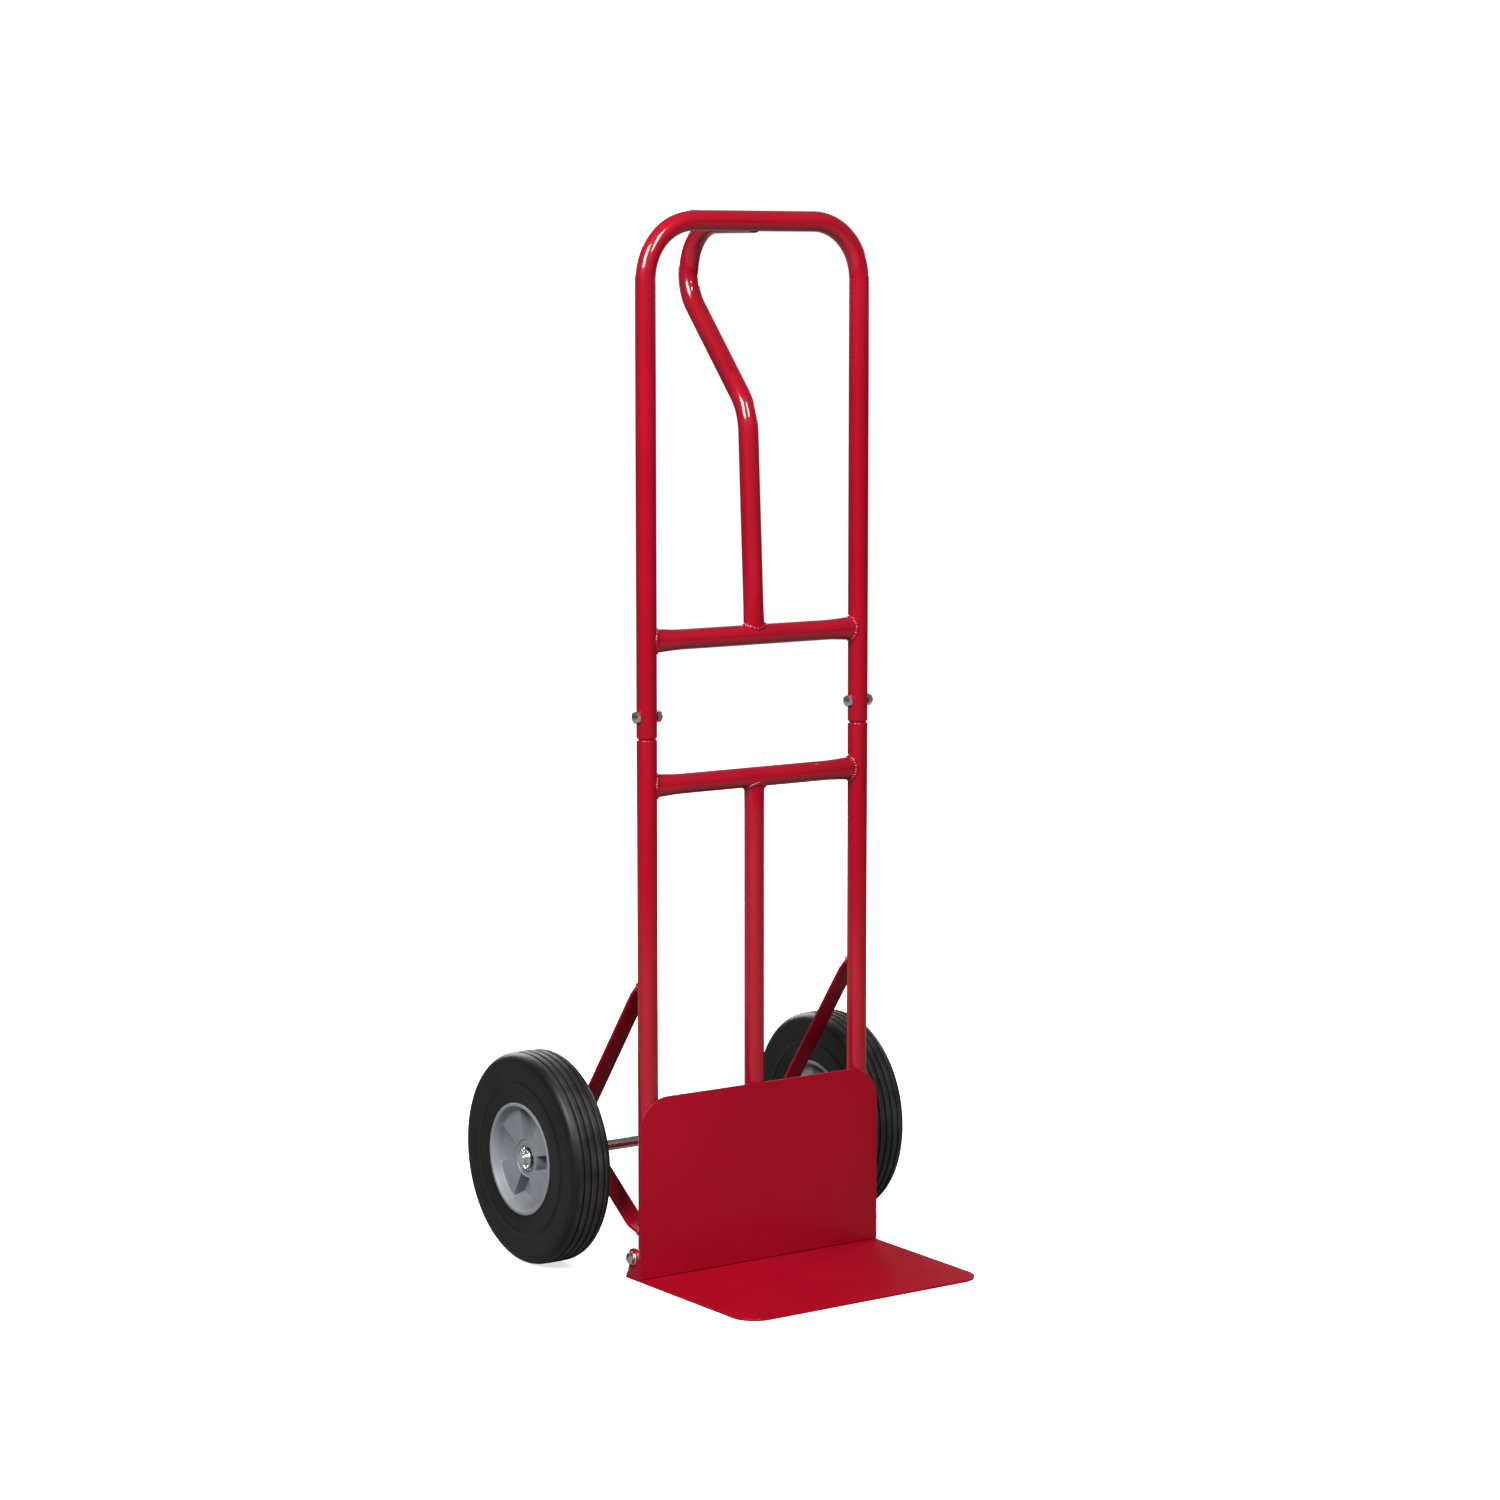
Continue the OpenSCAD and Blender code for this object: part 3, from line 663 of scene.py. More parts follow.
def inset(outline, amount):
    """Moves every point of a closed outline inwards by an amount."""
    count = len(outline)
    moved = []
    for i in range(count):
        a, b, c = (Vector(outline[(i + k) % count]) for k in (-1, 0, 1))
        u, v = (b - a).normalized(), (c - b).normalized()
        nu, nv = Vector((-u.y, u.x)), Vector((-v.y, v.x))
        bisector = (nu + nv).normalized()
        moved.append(b + bisector * amount / max(0.5, bisector.dot(nu)))
    return moved


def plate_shell(outline, thickness, edge, lift):
    """A sheet with rolled edges. lift turns an outline point and a depth into a place."""
    quarter = [math.pi / 2 * i / 4 for i in range(5)]
    lower = [(edge * (1 - math.sin(t)), edge * (1 - math.cos(t))) for t in quarter]
    levels = lower + [(draw, thickness - z) for draw, z in reversed(lower)]
    rings = [[lift(p, z) for p in inset(outline, draw)] for draw, z in levels]
    return loft(rings)


def rounded_outline(corners):
    """An outline from (point, radius) corners in counter-clockwise order."""
    count = len(corners)
    outline = []
    for i in range(count):
        (before, _), (corner, radius), (after, _) = (corners[(i + k) % count] for k in (-1, 0, 1))
        turn_step, fewest = (5.0, 4) if radius > 2 * MM else (90.0, 3)
        outline += corner_arc(Vector(before), Vector(corner), Vector(after), radius, turn_step, fewest)
    return outline


back_outline = rounded_outline([
    ((back_low[0], back_low[2]), FOOT_CORNER), ((back_high[0], back_low[2]), FOOT_CORNER),
    ((back_high[0], back_high[2]), BACK_CORNER), ((back_low[0], back_high[2]), BACK_CORNER)])
back_shell = plate_shell(back_outline, back_high[1] - back_low[1], PLATE_EDGE,
                         lambda p, z: Vector((p[0], back_low[1] + z, p[1])))
place(new_object("back_plate_sheet", *back_shell, plate_red), "frame", "red_powder_coat", "back_plate")

toe_outline = rounded_outline([
    ((toe_low[0] + TOE_TAPER, toe_low[1]), TOE_CORNER), ((toe_high[0] - TOE_TAPER, toe_low[1]), TOE_CORNER),
    ((toe_high[0], toe_high[1]), FOOT_CORNER), ((toe_low[0], toe_high[1]), FOOT_CORNER)])
toe_shell = plate_shell(toe_outline, PLATE_T, PLATE_EDGE, lambda p, z: Vector((p[0], p[1], z)))
place(new_object("toe_plate_sheet", *toe_shell, plate_red), "frame", "red_powder_coat", "toe_plate")

# %% [markdown]
# ## The nose ears
#
# A small tab at each corner of the nose joins the two plates and takes the bolt through the post's foot.
# It is round about the bolt, narrows to a waist and flares out where it meets the toe plate.

# %% Cut the nose ears
BOLT_Z = centre("nose_bolts").z
EAR_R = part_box("left_nose_ear")[1][2] - BOLT_Z
EAR_EDGE = 0.6 * MM
WAIST_ANGLE, FLARE_POWER = -28, 1.8


def ear_outline():
    """Round about the bolt to the waist, then out to the foot along a power curve."""
    low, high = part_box("left_nose_ear")
    head = arc(POST_Y, BOLT_Z, EAR_R, 90, WAIST_ANGLE, 14)
    waist = head[-1]
    foot = (high[1], PLATE_T)
    flare = [(waist[0] + (foot[0] - waist[0]) * t ** FLARE_POWER, waist[1] + (foot[1] - waist[1]) * t)
             for t in [i / 8 for i in range(1, 8)]]
    outline = [(low[1], PLATE_T), (low[1], BOLT_Z + EAR_R), *head, *flare, foot]
    return [Vector(p) for p in reversed(outline)]


for name in ("left", "right"):
    low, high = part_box(name + "_nose_ear")
    shell = plate_shell(ear_outline(), high[0] - low[0], EAR_EDGE,
                        lambda p, z, x=low[0]: Vector((x + z, p[0], p[1])))
    place(new_object(name + "_ear_tab", *shell, plate_red), "frame", "red_powder_coat", name + "_nose_ear")

# %% [markdown]
# ## The wheel brackets
#
# One flat strap on each side is bent into a wide V. It leaves the post's back high up, runs down to a
# round apex behind the axle, and comes back to the post near its foot. The axle's sleeve is welded under
# its lower leg. The strap is a rounded rectangle carried along the bent line.

# %% Bend the straps
STRAP_W, STRAP_T = 25 * MM, 4 * MM
STRAP_EDGE = 0.9 * MM
APEX_R, KNEE_BEND_R = 14 * MM, 25 * MM
SLEEVE_R = AXLE.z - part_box("left_axle_sleeve")[0][2]
SLEEVE_GAP = 1 * MM
LEG_OFF = SLEEVE_R + SLEEVE_GAP + STRAP_T / 2
APEX_Y = AXLE.y + 12.5 * MM
STRAP_END_Y = POST_Y + TUBE_R / 2
STRAP_TOP = Vector((0, STRAP_END_Y, 366 * MM))
TOP_KNEE = Vector((0, POST_Y + 20 * MM, 352.5 * MM))
FOOT_KNEE = Vector((0, POST_Y + 28 * MM, 63 * MM))
STRAP_FOOT = Vector((0, STRAP_END_Y, 58 * MM))
to_axle = Vector((AXLE.y - FOOT_KNEE.y, AXLE.z - FOOT_KNEE.z))
LEG_RISE = math.atan2(to_axle.y, to_axle.x) + math.asin(LEG_OFF / to_axle.length)
APEX = Vector((0, APEX_Y, FOOT_KNEE.z + (APEX_Y - FOOT_KNEE.y) * math.tan(LEG_RISE)))
strap_path = bent_path([STRAP_TOP, TOP_KNEE, APEX, FOOT_KNEE, STRAP_FOOT],
                       [KNEE_BEND_R, APEX_R, KNEE_BEND_R], turn_step=6.0)
strap_section = rounded_box_section(STRAP_W, STRAP_T, STRAP_EDGE)

for side, name in SIDE_NAMES:
    path = [p + SIDEWAYS * side * POST_X for p in strap_path]
    strap = new_object(name + "_strap", *sweep(path, strap_section, SIDEWAYS), plate_red)
    place(strap, "frame", "red_powder_coat", name + "_wheel_bracket")
print(f"each strap's lower leg rises at {math.degrees(LEG_RISE):.1f} degrees")

# %% [markdown]
# ## The axle and what sits on it
#
# The axle is a plated rod. From each bracket outwards it carries a sleeve, a spacer, the wheel, a washer
# and a split pin. All but the pin are turned shapes, with small chamfers that catch the light. A pad on
# each sleeve fills the gap up to its bracket.

# %% Turn the axle, the sleeves and the washers
axle_low, axle_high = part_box("axle")
AXLE_R = (axle_high[2] - axle_low[2]) / 2
BORE_R = AXLE_R + 0.05 * MM
AXLE_CHAMFER = 1.2 * MM
WASHER_T = 2 * MM
ON_AXLE = Vector((0, AXLE.y, AXLE.z))


def ring_profile(inner, outer, x0, x1, soft):
    """A ring's section with its outer edges chamfered."""
    return [(inner, x0), (outer - soft, x0), (outer, x0 + soft), (outer, x1 - soft),
            (outer - soft, x1), (inner, x1)]


axle_profile = ring_profile(0, AXLE_R, -axle_high[0], axle_high[0], AXLE_CHAMFER)
place(new_object("axle_rod", *lathe(axle_profile, ON_AXLE), zinc), "frame", "zinc_plate", "axle")


def ring_pair(name, profile, node, where=ON_AXLE, segments=96):
    """A zinc ring at each side of the truck, from its profile on the right."""
    mirrored = [(r, -x) for r, x in profile]
    shells = [lathe(profile, where, segments), lathe(mirrored, where, segments)]
    place(joined(name, shells, zinc), "frame", "zinc_plate", node)


washer_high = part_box("axle_end_washers")[1]
ring_pair("axle_washers", ring_profile(BORE_R, washer_high[2] - AXLE.z, washer_high[0] - WASHER_T,
                                       washer_high[0], 0.35 * MM), "axle_end_washers")
spacer_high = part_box("axle_spacers")[1]
SLEEVE_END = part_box("right_axle_sleeve")[1][0]
ring_pair("wheel_spacers", ring_profile(BORE_R, spacer_high[2] - AXLE.z, SLEEVE_END,
                                        spacer_high[0], 0.4 * MM), "axle_spacers")

leg_turn = Matrix.Rotation(LEG_RISE, 3, "X")
pad_section = rounded_box_section(STRAP_W - 1 * MM, SLEEVE_R * 1.4, 1 * MM)
for side, name in SIDE_NAMES:
    low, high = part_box(name + "_axle_sleeve")
    barrel = lathe(ring_profile(BORE_R, SLEEVE_R, low[0], high[0], 0.6 * MM), ON_AXLE)
    pad = loft([[ON_AXLE + SIDEWAYS * (x + side * POST_X) + leg_turn @ Vector((0, y, z))
                 for x, y in pad_section] for z in (SLEEVE_R * 0.6, SLEEVE_R + 1.2 * MM)])
    sleeve = joined(name + "_sleeve", [barrel, pad], plate_red)
    place(sleeve, "frame", "red_powder_coat", name + "_axle_sleeve")

# %% [markdown]
# ## Split pins
#
# A split pin is wire folded on itself: an eye at one end, two legs through the hole, and the ends bent
# apart below. Each half is drawn as a wire along a path in the plane across the axle.

# %% Bend the split pins
PIN_R, EYE_R = 2.0 * MM, 3.0 * MM
PIN_X = axle_high[0] - 4 * MM
LEG_TOP, LEG_BOTTOM = AXLE_R + 1.0 * MM, -AXLE_R - 0.8 * MM
EYE_Z = AXLE_R + 1.6 * MM + EYE_R
SPREAD_OUT, SPREAD_DOWN = 3.6 * MM, 4.6 * MM


def pin_path(side):
    """Eye above the axle and one leg, spread below, on one side of the pin's middle line."""
    leg = PIN_R / 2
    turns = [math.pi * (1 - i / 12) for i in range(12)]
    eye = [(side * EYE_R * math.sin(t), EYE_Z - EYE_R * math.cos(t)) for t in turns]
    down = [(side * leg, LEG_TOP), (side * leg, LEG_BOTTOM)]
    spread = [(side * (leg + SPREAD_OUT * t ** 1.5), LEG_BOTTOM - SPREAD_DOWN * t)
              for t in (0.3, 0.65, 1.0)]
    return [Vector((0, y, z)) for y, z in eye + down + spread]


wire = arc(0, 0, PIN_R * 0.62, 0, 330, 11)
pins = []
for side_x in SIDES:
    for side in SIDES:
        path = [ON_AXLE + SIDEWAYS * side_x * PIN_X + p for p in pin_path(side)]
        pins.append(sweep(path, wire, SIDEWAYS))
place(joined("axle_split_pins", pins, zinc), "frame", "zinc_plate", "split_pins")

# %% [markdown]
# ## Bolts and nuts
#
# A bolt's head and a nut are the same hexagon, with the corners turned off at about thirty degrees where
# the flat face was machined. That chamfer gives the bright curved facets that say "bolt". One head, one
# threaded end and one nut are modelled, and a Geometry Nodes tree sets copies of them at a few points,
# because that is how repeated hardware is best placed: change the model once and every copy follows.

# %% Model a head, a nut and a thread
BOLT_R, HEX_FLAT = 4 * MM, 13 * MM
HEAD_H, NUT_H = 5.28 * MM, 6.4 * MM
HEX_CHAMFER = math.radians(28)
THREAD_PITCH, THREAD_DEEP = 1.25 * MM, 0.55 * MM
THREAD_SHOW, THREAD_TIP = 3 * MM, 0.8 * MM


def hex_radius(angle):
    """Distance from the centre to a hexagon's side, at an angle."""
    return HEX_FLAT / 2 / math.cos((angle + math.pi / 6) % (math.pi / 3) - math.pi / 6)


def hex_shell(height, bore):
    """A hexagon along +X from x = 0, with its corners turned off at both faces."""
    rings = []
    turned = HEX_FLAT / 2 * 0.96
    for a in full_turn(72):
        flat = hex_radius(a)
        drop = (flat - turned) * math.tan(HEX_CHAMFER)
        profile = [(bore, 0), (turned, 0), (flat, drop),
                   (flat, height - drop), (turned, height), (bore, height)]
        rings.append([Vector((x, r * math.sin(a), r * math.cos(a))) for r, x in profile])
    return loft(rings, closed=True)


def thread_shell(length, radius):
    """A threaded end along +X: the radius follows a helix."""
    rings = []
    for x in [length * i / 40 for i in range(41)]:
        taper = 0.86 + 0.14 * min(1.0, (length - x) / THREAD_TIP)
        ring = []
        for a in full_turn(40):
            phase = (x / THREAD_PITCH + a / (2 * math.pi)) % 1.0
            r = (radius - THREAD_DEEP * abs(2 * phase - 1)) * taper
            ring.append(Vector((x, r * math.sin(a), r * math.cos(a))))
        rings.append(ring)
    return loft(rings)


def hidden(name, shells):
    piece = joined(name, shells, zinc)
    bpy.context.scene.collection.objects.unlink(piece)
    return piece


head_model = hidden("bolt head", [hex_shell(HEAD_H, 0)])
nut_model = hidden("nut", [hex_shell(NUT_H, BOLT_R * 0.9)])
thread_model = hidden("thread", [thread_shell(NUT_H + THREAD_SHOW, BOLT_R)])
print("hexagon:", HEX_FLAT, "across the flats")

# %% [markdown]
# ## A tree that sets copies
#
# The points carry a `direction` attribute, and Align Rotation to Vector turns the copy's X axis along it.

# %% Build the copy tree and place the hardware


def copy_tree():
    nodes, given = start_tree("copies at points", Model=("Object", None), Turn=("Float", 0.0))
    points = nodes.add("GeometryNodeMeshToPoints", None, {"Mesh": given["Geometry"]})
    facing = nodes.add("GeometryNodeInputNamedAttribute", {"data_type": "FLOAT_VECTOR"},
                       {"Name": "direction"})
    turn = nodes.add("FunctionNodeAlignRotationToVector", {"axis": "X"}, {"Vector": facing})
    model = nodes.add("GeometryNodeObjectInfo", None, {"Object": given["Model"]}, output="Geometry")
    spin = nodes.add("ShaderNodeCombineXYZ", None, {"X": given["Turn"]})
    inputs = {"Points": points, "Instance": model, "Rotation": turn}
    copies = nodes.add("GeometryNodeInstanceOnPoints", None, inputs)
    spun = nodes.add("GeometryNodeRotateInstances", None, {"Instances": copies, "Rotation": spin})
    return end_tree(nodes, spun, given)


COPY_TREE = copy_tree()


def copies(name, model, spots, turn=0.0):
    """Copies of a model at (place, direction) spots, as one plain object."""
    places, directions = zip(*spots)
    return run_tree(name, COPY_TREE, places, [], zinc, directions, Model=model, Turn=turn)


def merged(name, *pieces):
    """Joins finished pieces into the first one."""
    work = bmesh.new()
    for piece in pieces:
        work.from_mesh(piece.data)
    work.to_mesh(pieces[0].data)
    work.free()
    for piece in pieces[1:]:
        bpy.data.objects.remove(piece)
    pieces[0].name = name
    finish_mesh(pieces[0].data, zinc)
    return pieces[0]


JOINT_BOLT_Z = centre("joint_bolts").z
NOSE_NUT_X = POST_X - TUBE_R
NOSE_HEAD_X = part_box("nose_washers")[1][0]
joint_heads = [(Vector((side * POST_X - TUBE_R, POST_Y, JOINT_BOLT_Z)), -SIDEWAYS) for side in SIDES]
joint_ends = [(Vector((side * POST_X + TUBE_R, POST_Y, JOINT_BOLT_Z)), SIDEWAYS) for side in SIDES]
nose_heads = [(Vector((side * NOSE_HEAD_X, POST_Y, BOLT_Z)), SIDEWAYS * side) for side in SIDES]
nose_nuts = [(Vector((side * NOSE_NUT_X, POST_Y, BOLT_Z)), -SIDEWAYS * side) for side in SIDES]

joint_bolts = merged("joint_bolt_set", copies("joint heads", head_model, joint_heads, 0.35),
                     copies("joint threads", thread_model, joint_ends))
place(joint_bolts, "frame", "zinc_plate", "joint_bolts")
joint_nuts = copies("joint_nut_pair", nut_model, joint_ends, 0.2)
place(joint_nuts, "frame", "zinc_plate", "joint_nuts")
nose_bolts = merged("nose_bolt_set", copies("nose heads", head_model, nose_heads, 0.15),
                    copies("nose threads", thread_model, nose_nuts))
place(nose_bolts, "frame", "zinc_plate", "nose_bolts")
place(copies("nose_nut_pair", nut_model, nose_nuts, 0.5), "frame", "zinc_plate", "nose_nuts")

bolt_line = Vector((0, POST_Y, BOLT_Z))
for node in ("nose_washers", "nose_spacers"):
    low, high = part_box(node)
    inner_x = high[0] - 1.6 * MM if node == "nose_washers" else POST_X + TUBE_R
    profile = ring_profile(BOLT_R, (high[2] - low[2]) / 2, inner_x, high[0], 0.3 * MM)
    ring_pair(node + "_turned", profile, node, bolt_line, 64)

# %% [markdown]
# ## Weld beads
#
# A welder lays a bead as a row of overlapping puddles, and the powder coat then softens it. Each joint's
# seam is a closed line of points, and a Geometry Nodes tree sets a small ball at even steps along it,
# each a little different in size. The seed is fixed, so the beads are the same on every run.

# %% Build the weld tree


def weld_tree():
    nodes, given = start_tree("weld bead", Bead_radius=("Float", 2.6 * MM), Step=("Float", 1.1 * MM),
                              Seed=("Int", 3))
    line = nodes.add("GeometryNodeMeshToCurve", None, {"Mesh": given["Geometry"]})
    points = nodes.add("GeometryNodeCurveToPoints", {"mode": "LENGTH"},
                       {"Curve": line, "Length": given["Step"]})
    ball = nodes.add("GeometryNodeMeshUVSphere", None,
                     {"Segments": 12, "Rings": 8, "Radius": given["Bead radius"]})
    smallest, largest = 0.9, 1.1
    size = nodes.add("FunctionNodeRandomValue", {"data_type": "FLOAT"},
                     {2: smallest, 3: largest, "Seed": given["Seed"]}, output=1)
    dots = nodes.add("GeometryNodeInstanceOnPoints", None,
                     {"Points": points, "Instance": ball, "Scale": size})
    return end_tree(nodes, dots, given)


WELD_TREE = weld_tree()
BEAD_STEPS = 48
LOOP_DROP = TOP_Z - LOOP_Z
LOOP_BEAD_TOP = TUBE_R - 4 * MM
LOOP_BEAD_LOW = 5 * MM - TUBE_R


def crossbar_seam(side, height):
    """Where a crossbar's oval end meets the inner side of a post."""
    tall, thin = TUBE_R * 1.17, TUBE_R * 0.75
    ring = [(thin * math.cos(a), tall * math.sin(a)) for a in full_turn(BEAD_STEPS)]
    where = Vector((side * POST_X, POST_Y, height))
    return [where + Vector((-side * math.sqrt(TUBE_R ** 2 - y * y), y, z)) for y, z in ring]


def upright_seam(height, wide, deep, side):
    """Where an upright's oval end meets a crossbar, from above when side is 1."""
    ring = [(wide * math.cos(a), deep * math.sin(a)) for a in full_turn(BEAD_STEPS)]
    where = Vector((0, POST_Y, height))
    return [where + Vector((x, y, side * math.sqrt(max(0.0, TUBE_R ** 2 - y * y)))) for x, y in ring]


def loop_seam():
    """Where the handle's round end meets the top bar's back. It stays clear of the frame's top."""
    seam = []
    for a in full_turn(BEAD_STEPS):
        x, z = TUBE_R * math.cos(a), TUBE_R * math.sin(a)
        out = math.sqrt(max(0.0, TUBE_R ** 2 - z * z))
        height = min(max(z, LOOP_BEAD_LOW) - LOOP_DROP, LOOP_BEAD_TOP)
        seam.append(Vector((x, POST_Y + out, TOP_Z + height)))
    return seam


def foot_seam(side):
    """Where a post stands on the toe plate."""
    where = Vector((side * POST_X, POST_Y, PLATE_T))
    return [where + TUBE_R * Vector((math.cos(a), math.sin(a), 0)) for a in full_turn(BEAD_STEPS)]


def strap_seam(end, bend, side):
    """The seam where a strap's end run, from its end to its first bend, meets the post's round back."""
    rise = (bend.z - end.z) / (bend.y - end.y)
    seam = []
    for x, z in rounded_box_section(STRAP_W - 3 * MM, STRAP_T * math.hypot(1, rise), 1 * MM, 4):
        y = POST_Y + math.sqrt(TUBE_R ** 2 - x * x)
        seam.append(Vector((side * POST_X + x, y, end.z + (y - end.y) * rise + z)))
    return seam


seams = []
for side in SIDES:
    seams += [crossbar_seam(side, UPPER_BAR_Z), crossbar_seam(side, LOWER_BAR_Z)]
    seams += [strap_seam(STRAP_TOP, TOP_KNEE, side), strap_seam(STRAP_FOOT, FOOT_KNEE, side)]
    seams.append(foot_seam(side))
seams.append(upright_seam(UPPER_BAR_Z, TUBE_R * 1.14, TUBE_R * 0.78, 1))
seams.append(upright_seam(LOWER_BAR_Z, TUBE_R * 1.1, TUBE_R * 0.85, -1))
seams.append(loop_seam())

weld_verts, weld_edges = [], []
for seam in seams:
    start = len(weld_verts)
    weld_verts += seam
    weld_edges += [(a + start, b + start) for a, b in line_edges(len(seam), closed=True)]
welds = run_tree("weld_beads", WELD_TREE, weld_verts, weld_edges, tube_red)
place(welds, "frame", "red_powder_coat")

# %% [markdown]
# ## Tyres
#
# The tyre is solid rubber: five tread ribs with four grooves, round shoulders, and a side wall with a
# recessed band, a raised ring and a gentle dome. It is a lathed shape, so its section is written as
# points and arcs and turned about the axle. Short arcs at every corner keep it looking moulded.

# %% Turn the tyres
BARREL_R = 70.6 * MM
SIDE_STEP = 1.2 * MM
RIDGE_R = 94.4 * MM
DOME_FOOT, DOME_LOW, DOME_HIGH = RIDGE_R + 4 * MM, 0.15 * MM, 0.95 * MM
DOME_END = TYRE_R - 15 * MM
SHOULDER_R, CROWN_DROP = 12 * MM, 0.5 * MM
GROOVES, GROOVE_W, GROOVE_DEEP = (4.8 * MM, 14.4 * MM), 2.6 * MM, 2.6 * MM


def groove_section(groove):
    """One groove from its outer lip to its inner lip; the lips and the floor's corners are soft."""
    crown = TYRE_R - 0.6 * CROWN_DROP * (groove / GROOVES[1]) ** 2
    floor = TYRE_R - GROOVE_DEEP
    lip = [(crown, 0.7 * MM), (crown - 0.2 * MM, 0.2 * MM), (crown - 0.8 * MM, 0.0),
           (floor + 0.5 * MM, -0.25 * MM), (floor, -0.7 * MM)]
    outer = [(r, groove + GROOVE_W / 2 + x) for r, x in lip]
    inner = [(r, groove - GROOVE_W / 2 - x) for r, x in reversed(lip)]
    return outer + inner


def tyre_half():
    """Half a section as (radius, x), from the barrel out to the middle of the tread."""
    wall = HALF_W - SIDE_STEP
    bead = [(BARREL_R, wall - 1.5 * MM), (BARREL_R + 0.4 * MM, wall - 0.5 * MM),
            (BARREL_R + 1.2 * MM, wall)]
    bumps = ((-3.9, 0.0), (-2.8, 0.15), (-1.8, 0.95), (-0.8, 1.2), (0.8, 1.2), (1.8, 1.0), (2.8, 0.3))
    ridge = [(RIDGE_R + across * MM, wall + up * MM) for across, up in bumps]
    dome = [(DOME_FOOT + (DOME_END - DOME_FOOT) * t,
             wall + DOME_LOW + DOME_HIGH * math.sin(math.pi / 2 * t)) for t in (0.0, 0.25, 0.5, 0.75, 1.0)]
    shoulder = arc(TYRE_R - CROWN_DROP - SHOULDER_R, HALF_W - SHOULDER_R, SHOULDER_R, 86, 0, 14)
    grooves = [p for groove in reversed(GROOVES) for p in groove_section(groove)]
    return bead + ridge + dome + shoulder + grooves


half_section = tyre_half()
tyre_profile = half_section + [(r, -x) for r, x in reversed(half_section)]
TYRE_SEGMENTS = 192
for side, name in SIDE_NAMES:
    shell = lathe(tyre_profile, ON_AXLE + SIDEWAYS * side * WHEEL_X, TYRE_SEGMENTS)
    tyre = new_object(name + "_rubber_tyre", *shell, rubber)
    place(tyre, name + "_wheel", "black_rubber", name + "_tyre")

# %% [markdown]
# ## Hubs
#
# The hub is one plastic moulding: a rim lip, a dished wall, four broad spokes with four deep pockets
# between them, and a boss for the bearings. A modeller could cut the pockets with booleans, but a
# moulding has drafted walls and soft corners everywhere. So each face of the hub is a grid in polar
# coordinates, and one formula gives the depth at each point: the pocket's walls are smooth steps.

# %% Form the hubs
RIM_LIP, FLOOR_R = BARREL_R - 3.4 * MM, BARREL_R - 9.5 * MM
DISH, BOSS_SINK, BOSS_R = 11 * MM, 1.5 * MM, 23.2 * MM
CUP_R, CUP_STEP = 17 * MM, 2 * MM
RIM_EDGE = 0.5 * MM
POCKETS, POCKET_TURN, POCKET_SPAN = 4, math.radians(7.5), math.radians(44)
POCKET_DEEP = HALF_W - DISH - 3 * MM
SIDE_DRAFT, END_DRAFT = 1.1 * MM, 8 * MM
POCKET_OUT = FLOOR_R + 1.5 * MM


def smooth(value, low, high):
    t = min(1.0, max(0.0, (value - low) / (high - low)))
    return t * t * (3 - 2 * t)


def pocket_depth(radius, angle):
    """How deep a pocket is at a point: zero on the spokes, full inside."""
    turn = (angle - POCKET_TURN + math.pi / POCKETS) % (2 * math.pi / POCKETS) - math.pi / POCKETS
    side_wall = smooth(radius * math.sin(POCKET_SPAN / 2 - abs(turn)), -0.1 * MM, SIDE_DRAFT)
    boss_wall = smooth(radius - BOSS_R, 1.0 * MM, 2.6 * MM)
    end_wall = min(1.0, max(0.0, (POCKET_OUT - radius) / END_DRAFT))
    return POCKET_DEEP * side_wall * boss_wall * end_wall


def face_height(radius, angle):
    """How far a hub's face stands from the wheel's middle plane."""
    if radius > RIM_LIP:
        return HALF_W - RIM_EDGE * smooth(radius, BARREL_R - 0.8 * MM, BARREL_R)
    wall = smooth(radius, FLOOR_R - 0.5 * MM, RIM_LIP)
    boss = smooth(BOSS_R + 0.8 * MM - radius, 0.0, 1.2 * MM)
    return HALF_W - DISH * (1 - wall) - BOSS_SINK * boss - pocket_depth(radius, angle)


def stations(runs):
    """Values through runs of (low, high, count), the last one's end included."""
    values = [low + (high - low) * i / count for low, high, count in runs for i in range(count)]
    return values + [runs[-1][1]]


def hub_radii():
    """Rings of the polar grid, closer together where the face bends."""
    boss_in, boss_out, wall_in = BOSS_R - 1 * MM, BOSS_R + 3 * MM, POCKET_OUT - END_DRAFT
    return stations([(CUP_R, boss_in, 2), (boss_in, boss_out, 12), (boss_out, wall_in, 10),
                     (wall_in, POCKET_OUT, 12), (POCKET_OUT, RIM_LIP, 8), (RIM_LIP, BARREL_R, 6)])


def hub_angles():
    """Spokes of the polar grid, closer together at the pockets' side walls."""
    pitch, draft, margin = 2 * math.pi / POCKETS, math.radians(2.6), 0.003
    angles = []
    for k in range(POCKETS):
        start = POCKET_TURN + k * pitch - POCKET_SPAN / 2
        end = start + POCKET_SPAN
        runs = [(start - margin, start + draft, 12), (start + draft, end - draft, 18),
                (end - draft, end + margin, 12), (end + margin, start + pitch - margin, 22)]
        angles += stations(runs)[:-1]
    return angles


def hub_shell(where):
    """A mirrored pair of faces, turned about the axle and closed by the bore."""
    radii = hub_radii()
    bore = [(CUP_R, -0.6 * HALF_W), (CUP_R - CUP_STEP, -0.2 * HALF_W), (CUP_R - CUP_STEP, 0.2 * HALF_W)]
    rings = []
    for a in hub_angles():
        outer = [(r, face_height(r, a)) for r in radii]
        inner = [(r, -x) for r, x in reversed(outer)]
        out = Vector((0, math.cos(a), math.sin(a)))
        rings.append([where + out * r + SIDEWAYS * x for r, x in outer + inner + bore])
    return loft(rings, closed=True)


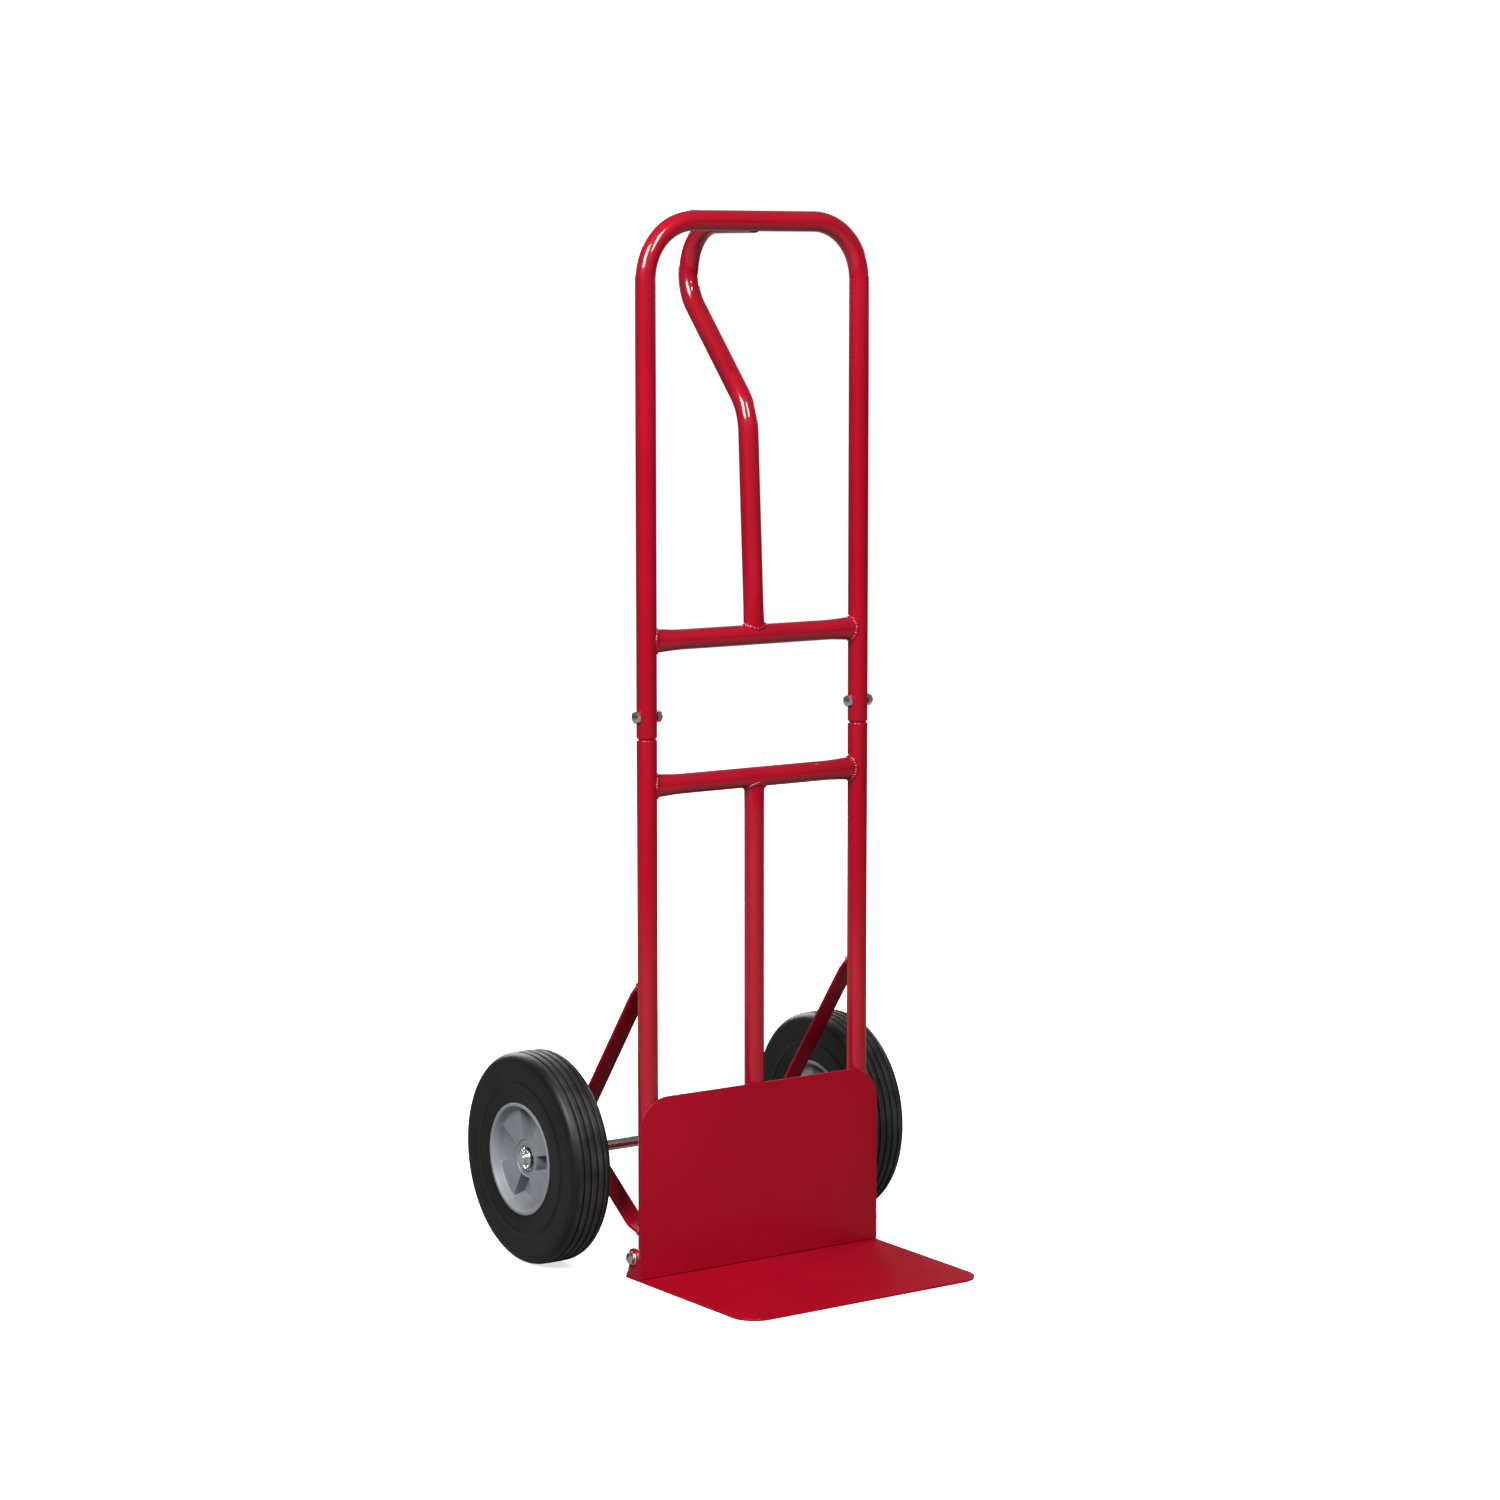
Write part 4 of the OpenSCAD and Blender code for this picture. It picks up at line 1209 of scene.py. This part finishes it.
for side, name in SIDE_NAMES:
    shell = hub_shell(ON_AXLE + SIDEWAYS * side * WHEEL_X)
    hub = new_object(name + "_plastic_hub", *shell, plastic)
    place(hub, name + "_wheel", "grey_plastic", name + "_hub")

# %% [markdown]
# ## Bearings
#
# Only the outer ring and the inner ring of each bearing show at the hub's middle. The CAD model already
# has their true shapes with their ball grooves, and the balls between them, so those nodes stay and are
# given the bearing steel. Assigning to the material slots leaves their meshes as they are.

# %% Finish the bearings
for name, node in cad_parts.items():
    if any(word in name for word in ("bearing", "inner_rings")):
        finish = zinc if "spacers" in name else steel
        for slot_item in node.material_slots:
            slot_item.material = finish
        if not node.material_slots:
            node.data.materials.append(finish)
        print(name, "wears", finish.name)

# %% [markdown]
# ## Floor, light and camera
#
# The truck stands on a plain pale floor against white. A white room would wash out a deep red, so the
# floor and the sky are white only where the camera sees them, and they light the truck as a dim room
# would. Near the truck the floor glows less, which leaves room for a soft shadow under the tyres.

# %% Lay the floor and paint the sky
WHITE = (1, 1, 1, 1)
FLOOR_SIZE = 60.0
FLOOR_NEAR, FLOOR_FAR = 0.7, 2.2
SKY_DIM, SKY_WHITE = 0.12, 1.05


def pale_paper():
    fixed = {"Roughness": 0.9, "Emission Strength": 0.97}
    material, nodes, shader, where = new_material("pale paper", fixed)
    tooth = nodes.noise(where, scale=3.0, detail=3.0)
    away = nodes.ease(nodes.vector("LENGTH", where, output="Value"), FLOOR_NEAR, FLOOR_FAR)
    nodes.put(nodes.mix(tooth, (0.84, 0.84, 0.84, 1), (0.88, 0.88, 0.88, 1)), shader.inputs["Base Color"])
    nodes.put(nodes.mix(away, (0.74, 0.74, 0.74, 1), WHITE), shader.inputs["Emission Color"])
    dim = nodes.add("ShaderNodeBsdfDiffuse", None, {"Color": (0.2, 0.2, 0.2, 1)}, "BSDF")
    seen = nodes.add("ShaderNodeLightPath", output="Is Camera Ray")
    lit = Value(nodes, shader.outputs["BSDF"])
    blend = nodes.add("ShaderNodeMixShader", None, {0: seen, 1: dim, 2: lit}, "Shader")
    nodes.put(blend, nodes.tree.nodes["Material Output"].inputs["Surface"])
    return material


floor_corners = [(-1, -1, 0), (1, -1, 0), (1, 1, 0), (-1, 1, 0)]
floor_mesh = bpy.data.meshes.new("floor")
floor_mesh.from_pydata([FLOOR_SIZE * Vector(c) for c in floor_corners], [], [(0, 1, 2, 3)])
floor_mesh.materials.append(pale_paper())
floor = bpy.data.objects.new("floor", floor_mesh)
bpy.context.scene.collection.objects.link(floor)

world = bpy.data.worlds.new("studio")
world.use_nodes = True
bpy.context.scene.world = world
sky = Nodes(world.node_tree)
background = world.node_tree.nodes["Background"]
background.inputs["Color"].default_value = WHITE
seen = sky.add("ShaderNodeLightPath", output="Is Camera Ray")
sky.put(SKY_DIM + seen * (SKY_WHITE - SKY_DIM), background.inputs["Strength"])
print("floor and sky are white to the camera only")

# %% [markdown]
# ## Lights and camera
#
# Two big soft boxes at the front left give the long clean streaks on the tubes, a small one picks out
# the right side, and a wide one lights the back. The camera looks down a little through a long lens,
# which keeps the uprights nearly parallel.

# %% Set the lights and the camera
MIDDLE = Vector((0, 0, 0.65))
CAMERA_AT = Vector((-2.6697, POST_Y - 3.8122, 1.2327))
CAMERA_TURN, CAMERA_TILT = math.radians(34.94), math.radians(7.19)
LENS, SENSOR = 90.98, 36.0


def soft_box(name, turn, rise, distance, size, watts):
    """A lamp that faces the middle; turn is in degrees from the front, negative to the left."""
    a, e = math.radians(turn), math.radians(rise)
    out = Vector((math.sin(a) * math.cos(e), -math.cos(a) * math.cos(e), math.sin(e)))
    data = bpy.data.lights.new(name, "AREA")
    data.shape = "RECTANGLE"
    data.size, data.size_y = size
    data.energy = watts
    light = bpy.data.objects.new(name, data)
    light.location = MIDDLE + distance * out
    light.rotation_euler = (-out).to_track_quat("-Z", "Y").to_euler()
    bpy.context.scene.collection.objects.link(light)


soft_box("key", turn=-64, rise=35, distance=4.2, size=(1.5, 2.0), watts=255)
soft_box("second", turn=-12, rise=40, distance=4.2, size=(0.9, 1.6), watts=140)
soft_box("side", turn=113, rise=12, distance=4.2, size=(0.4, 0.5), watts=16)
soft_box("back", turn=168, rise=22, distance=4.6, size=(3.2, 2.2), watts=170)

camera_data = bpy.data.cameras.new("camera")
camera_data.sensor_width = SENSOR
camera_data.lens = LENS
camera_data.clip_end = 200.0
camera = bpy.data.objects.new("camera", camera_data)
camera.location = CAMERA_AT
camera.rotation_euler = (math.pi / 2 - CAMERA_TILT, 0, -CAMERA_TURN)
bpy.context.scene.collection.objects.link(camera)
bpy.context.scene.camera = camera
bpy.context.scene.view_settings.view_transform = "Standard"
print("camera", tuple(round(v, 3) for v in camera.location))
